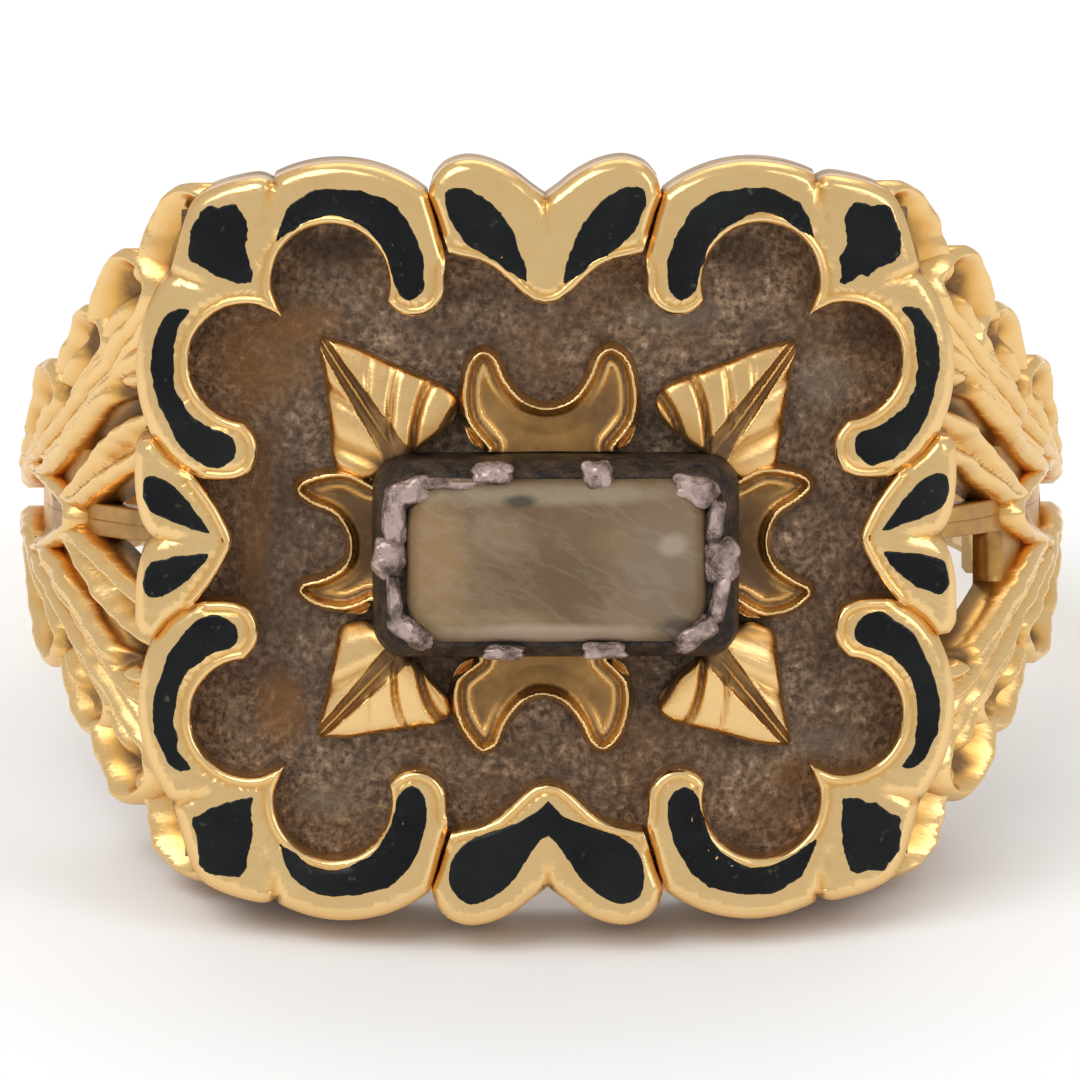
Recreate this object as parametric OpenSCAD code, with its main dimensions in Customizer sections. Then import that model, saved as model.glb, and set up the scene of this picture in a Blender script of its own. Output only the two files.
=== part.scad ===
// Mourning ring: a scroll-framed, enamelled head with a rosette and a crystal, on pierced acanthus shoulders.
// Units are millimetres. The ring is drawn with the finger along Z and the head towards -Y, then laid on its side,
// so that the lower edge of the head and the back of the hoop touch the same level.
// "Out" below is the distance from the finger axis towards the head, that is -Y.

/* [Hoop] */
// Diameter of the finger hole
bore_d = 19; // [17:0.1:21]
// Height of the hoop along the finger
hoop_h = 3.2; // [2.6:0.1:3.8]
// Thickness of the hoop
hoop_t = 1.3; // [1.1:0.05:1.6]
// Bevel on the hoop's outer edges
hoop_bevel = 0.3; // [0.1:0.05:0.4]

/* [Head] */
// Width of the head over its side scrolls
head_w = 17.2; // [16.4:0.1:18]
// Height of the head over the lobes of its hearts
head_h = 16.1; // [15.3:0.1:17]
// Height of the crest of the head above the finger hole
head_rise = 3.3; // [3:0.1:3.8]
// Radius of the head's curve round the finger
crown_r = 24; // [20:0.5:30]
// Depth of the frame's outer wall
frame_t = 2.2; // [2:0.1:2.5]
// Depth of the ground below the frame
sink = 1.2; // [1:0.05:1.3]
// Thickness of the ground plate
ground_t = 0.55; // [0.45:0.05:0.6]
// Cover of the ground plate past the window's lobes, behind the frame
plate_cover = 0.22; // [0.15:0.01:0.3]
// Thickness of the gallery wall behind the head
gallery_t = 0.9; // [0.7:0.05:1.2]
// Width of the gallery's joint to the frame, past the ground plate
gallery_joint = 0.27; // [0.2:0.01:0.35]

/* [Scrolls, hearts and buds] */
// Radius of the round lobes of the ground
lobe_r = 1.18; // [1.1:0.02:1.26]
// Width of a scroll's band
scroll_w = 1.2; // [1.1:0.02:1.3]
// Distance of the top and bottom scrolls from the middle
top_scroll_x = 4.48; // [4.3:0.02:4.6]
// Distance of the side scrolls from the middle
side_scroll_z = 3.72; // [3.6:0.02:3.84]
// Height of the hearts' lobes above the scrolls beside them
heart_proud = 0.25; // [0.1:0.05:0.4]
// Distance of a heart's lobe from the middle
heart_x = 1.5; // [1.35:0.05:1.65]
// Radius of a heart's lobe
heart_r = 1.05; // [0.95:0.05:1.15]
// Depth of a heart from its lobes to its point
heart_l = 3.1; // [2.8:0.05:3.3]
// Distance of a bud's lobe from the middle
bud_z = 1.12; // [1:0.02:1.2]
// Radius of a bud's lobe
bud_r = 0.8; // [0.72:0.02:0.86]
// Depth of a bud from its lobes to its point
bud_l = 2.15; // [1.95:0.05:2.35]
// Reach of the corner fans past the scrolls beside them
fan_r = 0.8; // [0.7:0.05:0.9]

/* [Enamel] */
// Depth of the cells
cell_t = 0.4; // [0.3:0.05:0.5]
// Width of gold left along a cell
cell_rim = 0.26; // [0.2:0.02:0.3]
// Depth of the enamel's face below the gold
enamel_low = 0.05; // [0.02:0.01:0.1]

/* [Rosette] */
// Distance of a leaf's tip from the cusp of the frame beside it, across and along
leaf_gap = 0.38; // [0.25:0.01:0.6]
// Width of a leaf across its foot
leaf_w = 2.8; // [2.4:0.05:2.9]
// Height of a leaf above the ground
leaf_h = 0.8; // [0.6:0.05:0.95]
// Span of the top and bottom petals over their horns
petal_w = 3.7; // [3.4:0.05:3.8]
// Distance of the top and bottom petals' horns from the points of the hearts, when the setting is central
petal_gap = 0.7; // [0.5:0.05:0.9]
// Depth of the top and bottom petals between the setting and their dip
petal_neck = 1; // [0.9:0.05:1.2]
// Span of the side petals over their horns
side_petal_w = 3; // [2.7:0.05:3.1]
// Distance of the side petals' horns from the points of the buds, when the setting is central
side_petal_gap = 1; // [0.8:0.05:1.2]
// Depth of the side petals between the setting and their dip
side_petal_neck = 0.53; // [0.45:0.01:0.65]
// Height of a petal above the ground
petal_h = 0.6; // [0.5:0.05:0.7]
// Width of a petal's raised rim
petal_rim = 0.17; // [0.13:0.01:0.22]
// Depth of a petal's dish
petal_dish = 0.25; // [0.15:0.05:0.35]

/* [Setting] */
// Width of the crystal
crystal_w = 6.36; // [6:0.02:6.6]
// Height of the crystal
crystal_h = 3.46; // [3.2:0.02:3.7]
// Thickness of the crystal
crystal_t = 1; // [0.9:0.05:1.2]
// Width of the crystal's bevels
crystal_bevel = 0.42; // [0.3:0.02:0.55]
// Radius of the crystal's corners
crystal_corner = 0.62; // [0.5:0.02:0.75]
// Thickness of the collet's wall at its top
collet_t = 0.28; // [0.22:0.02:0.34]
// Spread of the collet's foot past its top
collet_flare = 0.35; // [0.2:0.05:0.45]
// Height of the collet
collet_h = 1.5; // [1.35:0.05:1.65]
// Width of a claw
claw_w = 0.72; // [0.5:0.02:0.85]
// Reach of a claw over the crystal
claw_reach = 0.24; // [0.15:0.01:0.3]
// Place of the setting to the right of the head's middle
setting_x = 0.2; // [0:0.05:0.3]
// Place of the setting below the head's middle
setting_drop = 0.3; // [0:0.05:0.4]

/* [Shoulders] */
// Thickness of the shoulders beside the finger
shoulder_t = 0.8; // [0.7:0.05:1]
// Gap between the finger hole's wall and the inside of the shoulders
shoulder_relief = 0.65; // [0.5:0.05:0.8]
// Shift of the shoulders' outer curve towards the head
shoulder_swell = 1.85; // [1.6:0.05:2]
// Growth of the shoulders' thickness towards the head
shoulder_growth = 0.6; // [0.4:0.05:0.8]
// Height of the carved ribs above the shoulders
rib_h = 0.35; // [0.2:0.05:0.5]
// Half height of the shoulders where they meet the hoop
strap_h = 2.1; // [1.9:0.05:2.3]

/* [Hidden] */

// Clearance between pieces that are set into each other
fit_gap = 0.03;
// Length of a cylinder that passes every part of the ring
tall = 40;
// Steps of a round lobe and of a rounded point
lobe_steps = 12;
point_steps = 4;

bore_r = bore_d / 2;
hoop_r = bore_r + hoop_t;
head_out = bore_r + head_rise;
half_w = head_w / 2;
half_h = head_h / 2;

// Levels behind and before every part of the head
behind_head = bore_r / 2;
before_head = head_out + head_rise;

// The head is a slice of a cylinder along Z, whose axis lies behind the finger
crown_y = crown_r - head_out;
function out_at(r, x) = sqrt(r * r - x * x) - crown_y;
frame_back_r = crown_r - frame_t;
ground_r = crown_r - sink;
plate_back_r = ground_r - ground_t;
ledge_r = plate_back_r - fit_gap;
cell_floor_r = crown_r - cell_t;
enamel_top_r = crown_r - enamel_low;

// Centres of the scrolls' round lobes, in the upper right quarter
top_scroll_z = half_h - heart_proud - scroll_w - lobe_r;
side_scroll_x = half_w - scroll_w - lobe_r;
top_lobe = [top_scroll_x, top_scroll_z];
side_lobe = [side_scroll_x, side_scroll_z];
scroll_r = lobe_r + scroll_w;
scroll_mid_r = lobe_r + scroll_w / 2;
// Swell of a hook's rounds past the band's edges
hook_swell = 0.04;
cap_r = scroll_w / 2 + hook_swell;
plate_half = [side_scroll_x + lobe_r + plate_cover, top_scroll_z + lobe_r + plate_cover];
gallery_half = plate_half + [gallery_joint, gallery_joint];
gallery_corner = 1.6;
gallery_in_r = bore_r + 0.8 * shoulder_relief;
// Ends of the top scroll: its round hook beside the heart and its tail at the corner
top_hook_a = 181;
top_tail_a = 35;
// Ends of the side scroll: its blunt hook beside the bud and its tail at the corner
side_hook_a = -86;
side_tail_a = 55;
// Radius of the blunt hook's corners
hook_corner = scroll_w * 0.29;
// Turn of the enamel's ends from the hooks and tails, in degrees
top_hook_turn = 6;
side_hook_turn = 5;
tail_turn = 12;

heart_lobe = [heart_x, half_h - heart_r];
heart_point = [0, half_h - heart_l];
bud_lobe = [half_w - bud_r, bud_z];
bud_point = [half_w - bud_l, 0];
// Width of the hearts' and buds' points
point_r = 0.22;
// Cusp of the ground between two scrolls, and middle of the fan's rounded corner
cusp = (top_lobe + side_lobe) / 2;
fan_mid = cusp + scroll_r * [0.576, 0.861];
// Corners of the window that lie under a bud and under a heart
bud_cover = bud_lobe + [-0.6, 0.38];
heart_cover = heart_lobe + [0.25, -0.9];

// Lying angle: the head's lower lobes and the back of the hoop rest on one level
front_rest_out = out_at(frame_back_r, heart_x);
rest_tilt = atan((half_h - hoop_h / 2) / (front_rest_out + hoop_r - hoop_bevel));

// Shoulders: a shell between two cylinders along Z, both set off towards the head
shoulder_in_r = bore_r + shoulder_relief;
shoulder_in_shift = shoulder_swell - shoulder_growth;
shoulder_out_r = shoulder_in_r + shoulder_t;
rib_r = shoulder_out_r + rib_h;
// The shoulders start behind the rim of the head's side scrolls, and their ribs a step further out
shoulder_lap = 0.12;
rib_step = 0.2;
shoulder_start_x = side_scroll_x + lobe_r + shoulder_lap;
// Open stretch of the hoop beside the head, in degrees from the head's middle
hoop_gap_from = 50;
hoop_gap_to = 72;

// A place on a shoulder, given as a share of head_out and of half_h
function shoulder_at(share) = [share[0] * head_out, share[1] * half_h];
// Fingers of a shoulder, from the head back to the hoop: place and radius of each tip
finger_tips = [
    [0.785, 0.815, 0.62],
    [0.695, 0.620, 0.58],
    [0.585, 0.455, 0.70],
    [0.445, 0.290, 0.82]];
finger_root = [0.094, 0.068];
finger_root_r = 0.5;
// Width of the valleys between the ribs of neighbouring fingers
finger_valley = 0.22;
// Upper half of the shell under the fingers, from the hoop to the head
shoulder_web = [[-0.27, 0], [-0.27, 0.186], [0, strap_h / half_h], [0.445, 0.27], [0.785, 0.7], [0.8, 0]];
// Opening beside the bud, and a smaller one behind it with the radii of its two ends
bud_opening = [[0.5, 0.044], [0.73, 0.037], [0.73, 0.38], [0.7, 0.4], [0.62, 0.34], [0.5, 0.2]];
eye_from = [0.425, 0.14];
eye_from_r = 0.3;
eye_to = [0.33, 0.1];
eye_to_r = 0.12;

// Depth of the crystal's girdle below the collet's top
girdle_drop = 0.1;
// Levels of the setting, as distances out from the finger axis
ground_out = out_at(ground_r, 0);
collet_out = ground_out + fit_gap;
collet_top = collet_out + collet_h;
girdle_out = collet_top - girdle_drop;
table_out = girdle_out + crystal_bevel;
culet_out = table_out - crystal_t;
setting = [setting_x, -setting_drop];
collet_half = [crystal_w / 2 + collet_t + fit_gap, crystal_h / 2 + collet_t + fit_gap];
foot_half = collet_half + collet_flare * [1, 0.3];
collet_corner = 0.75;
foot_corner = 0.6;

// Claws round the crystal: place as a share of its half width and half height, and width as a share of claw_w
claw_places = [
    [-0.40, 1, 1.00], [0.25, 1, 0.85], [0.86, 0.86, 1.25], [1, -0.08, 1.15], [0.90, -0.82, 1.7],
    [0.30, -1, 1.05], [-0.36, -1, 1.0], [-0.90, -0.88, 1.2], [-1, -0.06, 1.1], [-0.92, 0.72, 1.6]];

// Turns the drawn ring so that it lies on its side
module lie_down() {
    rotate([-rest_tilt, 0, 0]) children();
}

// A flat shape of the head, drawn in X and Z, made a prism between two distances out
module along_head(out_from, out_to) {
    translate([0, -out_from, 0]) rotate([90, 0, 0]) linear_extrude(out_to - out_from) children();
}

// A flat shape of a shoulder, drawn in distance out and Z, made a prism across the left side
module across_left(from_x, to_x) {
    translate([-from_x, 0, 0]) rotate([90, 0, -90]) linear_extrude(to_x - from_x) children();
}

// A cylinder along Z, whose axis is shifted towards the head
module post(r, shift) {
    translate([0, -shift, -tall / 2]) cylinder(r = r, h = tall, $fn = 180);
}

// The solid between two radii of the head's curve
module crown_shell(r_in, r_out) {
    difference() {
        post(r_out, -crown_y);
        post(r_in, -crown_y);
    }
}

module both_sides() {
    children();
    mirror([1, 0]) children();
}

module four_ways() {
    both_sides() children();
    mirror([0, 1]) both_sides() children();
}

// A flat shape of the upper right quarter, turned into another quarter by two signs
module to_quarter(sign_x, sign_z) {
    mirror([sign_x < 0 ? 1 : 0, 0]) mirror([0, sign_z < 0 ? 1 : 0]) children();
}

// Flat shapes of the frame

function on_circle(c, r, a) = c + r * [cos(a), sin(a)];
function arc(c, r, a_from, a_to, steps) = [for (i = [0 : steps]) on_circle(c, r, a_from + (a_to - a_from) * i / steps)];

module round_at(c, r) {
    translate(c) circle(r, $fn = 60);
}

module sector(c, r, a_from, a_to) {
    polygon(concat([c], arc(c, r, a_from, a_to, 8)));
}

module ring_slice(c, r_in, r_out, a_from, a_to) {
    intersection() {
        difference() {
            round_at(c, r_out);
            round_at(c, r_in);
        }
        sector(c, 2 * r_out, a_from, a_to);
    }
}

// Band of a scroll up to its hook, whose end is a child
module scroll_band(c, hook_a, tail_a) {
    ring_slice(c, lobe_r, scroll_r, min(hook_a, tail_a), max(hook_a, tail_a));
    children();
}

module top_band() {
    scroll_band(top_lobe, top_hook_a, top_tail_a)
        round_at(on_circle(top_lobe, scroll_mid_r, top_hook_a), cap_r);
}

module side_band() {
    scroll_band(side_lobe, side_hook_a, side_tail_a)
        drop(on_circle(side_lobe, lobe_r + hook_corner - hook_swell, side_hook_a), hook_corner,
            on_circle(side_lobe, scroll_r - hook_corner + hook_swell, side_hook_a), hook_corner);
}

// A round lobe drawn out to a rounded point by its two tangents
module drop(lobe, r, point, tip_r) {
    way = point - lobe;
    heading = atan2(way[1], way[0]);
    spread = acos((r - tip_r) / norm(way));
    polygon(concat(arc(lobe, r, heading + spread, heading + 360 - spread, lobe_steps),
        arc(point, tip_r, heading - spread, heading + spread, point_steps)));
}

// Heart: two lobes drawn to one point, with a round filling that sets the depth of the notch between them
module heart_shape() {
    both_sides() drop(heart_lobe, heart_r, heart_point + [0, point_r], point_r);
    round_at([0, heart_lobe[1] - heart_r / 2], heart_r * 0.7);
}

// Right half of a bud, made like a heart
module bud_shape() {
    drop(bud_lobe, bud_r, bud_point + [point_r, 0], point_r);
    round_at([half_w - bud_r * 1.15, 0], bud_r * 0.65);
}

// Corner fan: its round corner drawn to the cusp and to the two scrolls beside it
module fan_shape() {
    edge_r = 0.3;
    top_edge_a = 62;
    side_edge_a = 46;
    drop(fan_mid, fan_r, cusp, edge_r);
    drop(fan_mid, fan_r, on_circle(top_lobe, scroll_r - 1.15 * edge_r, top_edge_a), edge_r);
    drop(fan_mid, fan_r, on_circle(side_lobe, scroll_r - 1.15 * edge_r, side_edge_a), edge_r);
}

// The head's whole outline, with nothing cut out
module head_outline() {
    square([2 * side_scroll_x, 2 * top_scroll_z], center = true);
    four_ways() {
        round_at(top_lobe, scroll_r);
        round_at(side_lobe, scroll_r);
        fan_shape();
        bud_shape();
    }
    heart_shape();
    mirror([0, 1]) heart_shape();
}

// The ground seen inside the frame
module window_shape() {
    difference() {
        four_ways() {
            polygon([[0, 0], [bud_point[0], 0], bud_cover, side_lobe, top_lobe, heart_cover, heart_point]);
            round_at(top_lobe, lobe_r);
            round_at(side_lobe, lobe_r);
        }
        four_ways() {
            top_band();
            side_band();
            bud_shape();
        }
        heart_shape();
        mirror([0, 1]) heart_shape();
    }
}

// Flat shapes of the enamel, in the upper right quarter

// A crescent in a scroll's band, thick at the hook and thin at the tail, grown by a clearance
module crescent(c, hook_a, tail_a, grow) {
    hook_shift = 0.16;
    spare = grow / scroll_mid_r * 180 / PI;
    intersection() {
        difference() {
            round_at(on_circle(c, hook_shift, hook_a), scroll_r - 1.25 * cell_rim + grow);
            round_at(c, lobe_r + 0.8 * cell_rim - grow);
        }
        sector(c, 2 * scroll_r, min(hook_a, tail_a) - spare, max(hook_a, tail_a) + spare);
    }
}

module top_crescent(grow = 0) {
    crescent(top_lobe, top_hook_a + top_hook_turn, top_tail_a + tail_turn, grow);
}

module side_crescent(grow = 0) {
    crescent(side_lobe, side_hook_a + side_hook_turn, side_tail_a - tail_turn, grow);
}

// A corner's cell, from its point at the cusp round to the corner and back, in shares of a scroll's radius
fan_outline = [[0.31, 0.31], [0.68, 0.36], [0.88, 0.54], [0.84, 0.76], [0.68, 0.94], [0.41, 0.97], [0.33, 0.62]];
fan_middle = [0.62, 0.64];
module fan_cell(grow = 0) {
    polygon([for (p = fan_outline) let (away = p - fan_middle)
        cusp + scroll_r * p + 1.4 * grow * away / norm(away)]);
}

// One drop of the upper heart
module heart_cell(grow = 0) {
    tip_r = 0.08;
    drop(heart_lobe - [0.1, 0.08], heart_r - 2 * cell_rim + grow, heart_point + [0.2, 0.55], tip_r + grow);
}

// The lower heart's cell: both drops joined above a wedge of gold
module bottom_heart_cell(grow = 0) {
    wedge = 0.3;
    wedge_tip = 1.2;
    tip_r = 0.34;
    tip = heart_point + [0, 0.78];
    offset(delta = grow) difference() {
        union() {
            both_sides() drop(heart_lobe - [0.1, 0.1], heart_r - 1.7 * cell_rim, tip, tip_r);
            round_at(tip, tip_r);
        }
        polygon([[-wedge, half_h], heart_point + [0, wedge_tip], [wedge, half_h]]);
    }
}

// One drop of a bud
module bud_cell(grow = 0) {
    tip_r = 0.06;
    drop(bud_lobe + [0.08, -0.06], bud_r - 1.4 * cell_rim + grow, bud_point + [0.55, 0.22], tip_r + grow);
}

// The cells cut in the frame: each enamel shape grown by its clearance
module all_cells() {
    four_ways() {
        top_crescent(fit_gap);
        side_crescent(fit_gap);
        fan_cell(fit_gap);
        bud_cell(fit_gap);
    }
    both_sides() heart_cell(fit_gap);
    mirror([0, 1]) bottom_heart_cell(fit_gap);
}

// One piece of enamel, in the quarter given by two signs
module enamel(sign_x, sign_z) {
    color([0.05, 0.06, 0.06]) lie_down() intersection() {
        along_head(behind_head, before_head) to_quarter(sign_x, sign_z) children();
        crown_shell(cell_floor_r + fit_gap, enamel_top_r);
    }
}

// Parts of the ring's body

// A wedge seen from the finger's end, between two angles from the head's middle
module wedge(from_a, to_a) {
    far = 2 * hoop_r;
    translate([0, 0, -hoop_h]) linear_extrude(2 * hoop_h)
        polygon([[0, 0], far * [sin(from_a), -cos(from_a)], far * [sin(to_a), -cos(to_a)]]);
}

module hoop() {
    h = hoop_h / 2;
    difference() {
        rotate_extrude($fn = 180) polygon([[bore_r, -h], [hoop_r - hoop_bevel, -h], [hoop_r, -h + hoop_bevel],
            [hoop_r, h - hoop_bevel], [hoop_r - hoop_bevel, h], [bore_r, h]]);
        wedge(hoop_gap_from, hoop_gap_to);
        wedge(-hoop_gap_from, -hoop_gap_to);
    }
}

module frame() {
    difference() {
        intersection() {
            along_head(behind_head, before_head) difference() {
                head_outline();
                window_shape();
            }
            crown_shell(frame_back_r, crown_r);
        }
        intersection() {
            along_head(behind_head, before_head) rounded_block(plate_half + [fit_gap, fit_gap], gallery_corner);
            post(ground_r + fit_gap, -crown_y);
        }
        intersection() {
            along_head(behind_head, before_head) all_cells();
            crown_shell(cell_floor_r, 2 * crown_r);
        }
    }
}

// Wall behind the head: it carries the ground plate and is cut back round the finger
module gallery() {
    wall = [gallery_t, gallery_t];
    difference() {
        intersection() {
            along_head(behind_head, before_head) difference() {
                rounded_block(gallery_half, gallery_corner);
                rounded_block(gallery_half - wall, gallery_corner - gallery_t);
            }
            post(ledge_r, -crown_y);
        }
        post(gallery_in_r, 0);
    }
}

// Flat shape of a shoulder, in distance out and Z
module finger_shape(shrink) {
    for (tip = finger_tips) {
        drop(shoulder_at(tip), tip[2] - shrink, shoulder_at(finger_root), finger_root_r - shrink / 3);
    }
}

module shoulder_shape() {
    for (side = [1, -1]) {
        to_quarter(1, side) {
            finger_shape(0);
            polygon([for (share = shoulder_web) shoulder_at(share)]);
        }
    }
}

// Openings between the shoulder and the side of the head
module shoulder_openings() {
    for (side = [1, -1]) {
        to_quarter(1, side) {
            polygon([for (share = bud_opening) shoulder_at(share)]);
            drop(shoulder_at(eye_from), eye_from_r, shoulder_at(eye_to), eye_to_r);
        }
    }
}

module left_shoulder() {
    difference() {
        union() {
            intersection() {
                across_left(shoulder_start_x, 2 * bore_r) shoulder_shape();
                post(shoulder_out_r, shoulder_swell);
            }
            intersection() {
                across_left(shoulder_start_x + rib_step, 2 * bore_r) for (side = [1, -1]) {
                    to_quarter(1, side) finger_shape(finger_valley);
                }
                post(rib_r, shoulder_swell);
            }
        }
        post(shoulder_in_r, shoulder_in_shift);
        across_left(0, 2 * bore_r) shoulder_openings();
    }
}

module ring_body() {
    color("goldenrod") lie_down() union() {
        hoop();
        gallery();
        frame();
        left_shoulder();
        mirror([1, 0, 0]) left_shoulder();
    }
}

module ground_plate() {
    color([0.42, 0.37, 0.3]) lie_down() intersection() {
        along_head(behind_head, before_head) rounded_block(plate_half, gallery_corner);
        crown_shell(plate_back_r, ground_r);
    }
}

// Rosette of leaves and petals

// Edges of a leaf beside its midrib, from foot to tip, in shares of leaf_w:
// share along the leaf, inner edge across and up, outer edge across and up
leaf_edges = [
    [0.00, -0.56, 0.04, 0.13, -0.19],
    [0.25, -0.67, 0.16, 0.25, -0.27],
    [0.45, -0.61, 0.15, 0.19, -0.27],
    [0.65, -0.40, 0.07, 0.08, -0.19],
    [0.85, -0.28, 0.06, 0.08, -0.05],
    [1.00, -0.05, 0.03, 0.05, -0.03]];
function leaf_edge(t, column) = leaf_w * lookup(t, [for (r = leaf_edges) [r[0], r[column]]]);
// Foot of a leaf, from the setting's middle
leaf_foot = foot_half - [0.2, 0];
// Tip of an upper or a lower leaf, from the setting's middle: upper and lower tips lie as far from the cusps
function leaf_tip(sign_z) = cusp - [leaf_gap, leaf_gap - sign_z * setting_drop];
// Point of the right leaf at a share along it and a share across it, -1 at its inner edge
function leaf_spot(t, s, tip) = leaf_foot + t * (tip - leaf_foot)
    + abs(s) * (s < 0 ? [leaf_edge(t, 1), leaf_edge(t, 2)] : [leaf_edge(t, 3), leaf_edge(t, 4)]);
// Height of a leaf over the ground: it falls to its edges and tip, with a groove along the middle and slanting flutes
groove_depth = 0.22;
groove_width = 0.16;
flute_depth = 0.05;
flutes_along = 4.5;
flutes_slant = 1.2;
function leaf_height(t, s) = leaf_h * (1 - 0.5 * t) * (1 - 0.55 * abs(s))
    - groove_depth * (1 - t) * exp(-pow(s / groove_width, 2))
    + flute_depth * (1 - t) * cos(360 * (flutes_along * t + flutes_slant * abs(s))) * abs(s);
leaf_rows = 10;
leaf_cols = 12;
leaf_edge_h = 0.15;

// One leaf as a closed solid: rows from foot to tip, columns across, a top and a foot that follows the ground
module leaf(sign_x, sign_z) {
    mirrored = sign_x != sign_z;
    shares = [for (i = [0 : leaf_rows]) for (j = [0 : leaf_cols]) [i / leaf_rows, 2 * j / leaf_cols - 1]];
    tip = leaf_tip(sign_z);
    spots = [for (p = shares) let (q = leaf_spot(p[0], p[1], tip))
        setting + [sign_x * q[0], sign_z * q[1]]];
    floors = [for (q = spots) out_at(ground_r + fit_gap, q[0])];
    heights = [for (p = shares) max(leaf_edge_h, leaf_height(p[0], p[1]))];
    count = len(spots);
    tops = [for (k = [0 : count - 1]) [spots[k][0], -floors[k] - heights[k], spots[k][1]]];
    feet = [for (k = [0 : count - 1]) [spots[k][0], -floors[k], spots[k][1]]];
    row = leaf_cols + 1;
    quads = [for (i = [0 : leaf_rows - 1]) for (j = [0 : leaf_cols - 1]) i * row + j];
    rim = concat([for (j = [0 : leaf_cols - 1]) j], [for (i = [0 : leaf_rows - 1]) i * row + leaf_cols],
        [for (j = [leaf_cols : -1 : 1]) leaf_rows * row + j], [for (i = [leaf_rows : -1 : 1]) i * row]);
    walls = [for (k = [0 : len(rim) - 1]) [rim[k], rim[(k + 1) % len(rim)]]];
    faces = concat(
        [for (q = quads) [q, q + 1, q + row]], [for (q = quads) [q + 1, q + row + 1, q + row]],
        [for (q = quads) [count + q, count + q + row, count + q + 1]],
        [for (q = quads) [count + q + 1, count + q + row, count + q + row + 1]],
        [for (w = walls) [w[1], w[0], count + w[0]]], [for (w = walls) [w[1], count + w[0], count + w[1]]]);
    color([0.85, 0.6, 0.2]) lie_down()
        polyhedron(concat(tops, feet), [for (f = faces) mirrored ? f : [f[2], f[1], f[0]]]);
}

// Reach of the petals from the setting
petal_foot = foot_half + [fit_gap, fit_gap];
petal_l = heart_point[1] - petal_gap - petal_foot[1];
side_petal_l = bud_point[0] - side_petal_gap - petal_foot[0];

// Outline of a petal with two horns, its foot at the origin and its horns upwards, drawn in by an inset
module petal_outline(w, l, neck, inset) {
    horn_r = petal_rim + 0.08 * l;
    belly_r = petal_rim + 0.2 * l;
    foot_r = petal_rim + 0.04 * l;
    dip_r = 0.2 * w;
    belly = [w / 2 - belly_r, 0.42 * l];
    difference() {
        union() {
            both_sides() {
                drop(belly, belly_r - inset, [w / 2 - horn_r, l - horn_r], horn_r - inset);
                drop(belly, belly_r - inset, [w / 4, foot_r], foot_r - inset);
            }
            translate([-w / 4, inset]) square([w / 2, 0.8 * l]);
        }
        drop([0, neck + dip_r], dip_r + inset, [0, neck + l + dip_r], dip_r);
    }
}

// One petal, standing off the setting at an angle, with a raised rim round its dish
module petal(way, angle, w, l, neck) {
    foot = setting + [way[0] * petal_foot[0], way[1] * petal_foot[1]];
    color([0.72, 0.5, 0.18]) lie_down() difference() {
        intersection() {
            along_head(behind_head, before_head) translate(foot) rotate(angle) petal_outline(w, l, neck, 0);
            crown_shell(ground_r + fit_gap, ground_r + petal_h);
        }
        intersection() {
            along_head(behind_head, before_head) translate(foot) rotate(angle) petal_outline(w, l, neck, petal_rim);
            crown_shell(ground_r + petal_h - petal_dish, crown_r);
        }
    }
}

// A rectangle with round corners, by its half sizes
module rounded_block(half, corner) {
    middle = half - [corner, corner];
    polygon(concat(arc(middle, corner, 0, 90, 6), arc([-middle[0], middle[1]], corner, 90, 180, 6),
        arc(-middle, corner, 180, 270, 6), arc([middle[0], -middle[1]], corner, 270, 360, 6)));
}

// Crystal: a table, bevels down to the girdle and a tapered underside
module crystal_body(grow) {
    half = [crystal_w / 2 + grow, crystal_h / 2 + grow];
    slice = 0.02;
    girdle_t = 0.15;
    cut = 8;
    module level(inset, out) {
        along_head(out, out + slice) translate(setting) hull() for (x = [-1, 1]) for (z = [-1, 1]) {
            translate([x * (half[0] - inset - crystal_corner), z * (half[1] - inset - crystal_corner)])
                rotate(180 / cut) circle(crystal_corner, $fn = cut);
        }
    }
    hull() {
        level(crystal_bevel, table_out - slice + grow);
        level(0, girdle_out);
        level(0, girdle_out - girdle_t);
        level(0.6 * crystal_bevel, culet_out - grow);
    }
}

module crystal() {
    color([0.62, 0.58, 0.5, 0.8]) lie_down() crystal_body(0);
}

module claws() {
    claw_proud = 0.2;
    claw_corner = 0.12;
    for (c = claw_places) {
        w = claw_w * c[2];
        spot = [c[0] * (crystal_w / 2 + fit_gap), c[1] * (crystal_h / 2 + fit_gap)];
        turn = abs(c[0]) == 1 ? 90 : abs(c[1]) == 1 ? 0 : -45 * sign(c[0] * c[1]);
        along_head(collet_out + collet_h / 2, collet_top + claw_proud) translate(setting + 0.98 * spot) rotate(turn)
            rounded_block([w / 2, claw_reach], claw_corner);
    }
}

module collet() {
    slice = 0.05;
    color([0.3, 0.28, 0.27]) lie_down() difference() {
        union() {
            hull() {
                along_head(collet_out, collet_out + slice) translate(setting) rounded_block(foot_half, foot_corner);
                along_head(collet_top - slice, collet_top) translate(setting)
                    rounded_block(collet_half, collet_corner);
            }
            claws();
        }
        crystal_body(fit_gap);
        along_head(girdle_out, before_head) translate(setting)
            rounded_block([crystal_w / 2 - claw_reach, crystal_h / 2 - claw_reach], crystal_corner);
    }
}

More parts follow.
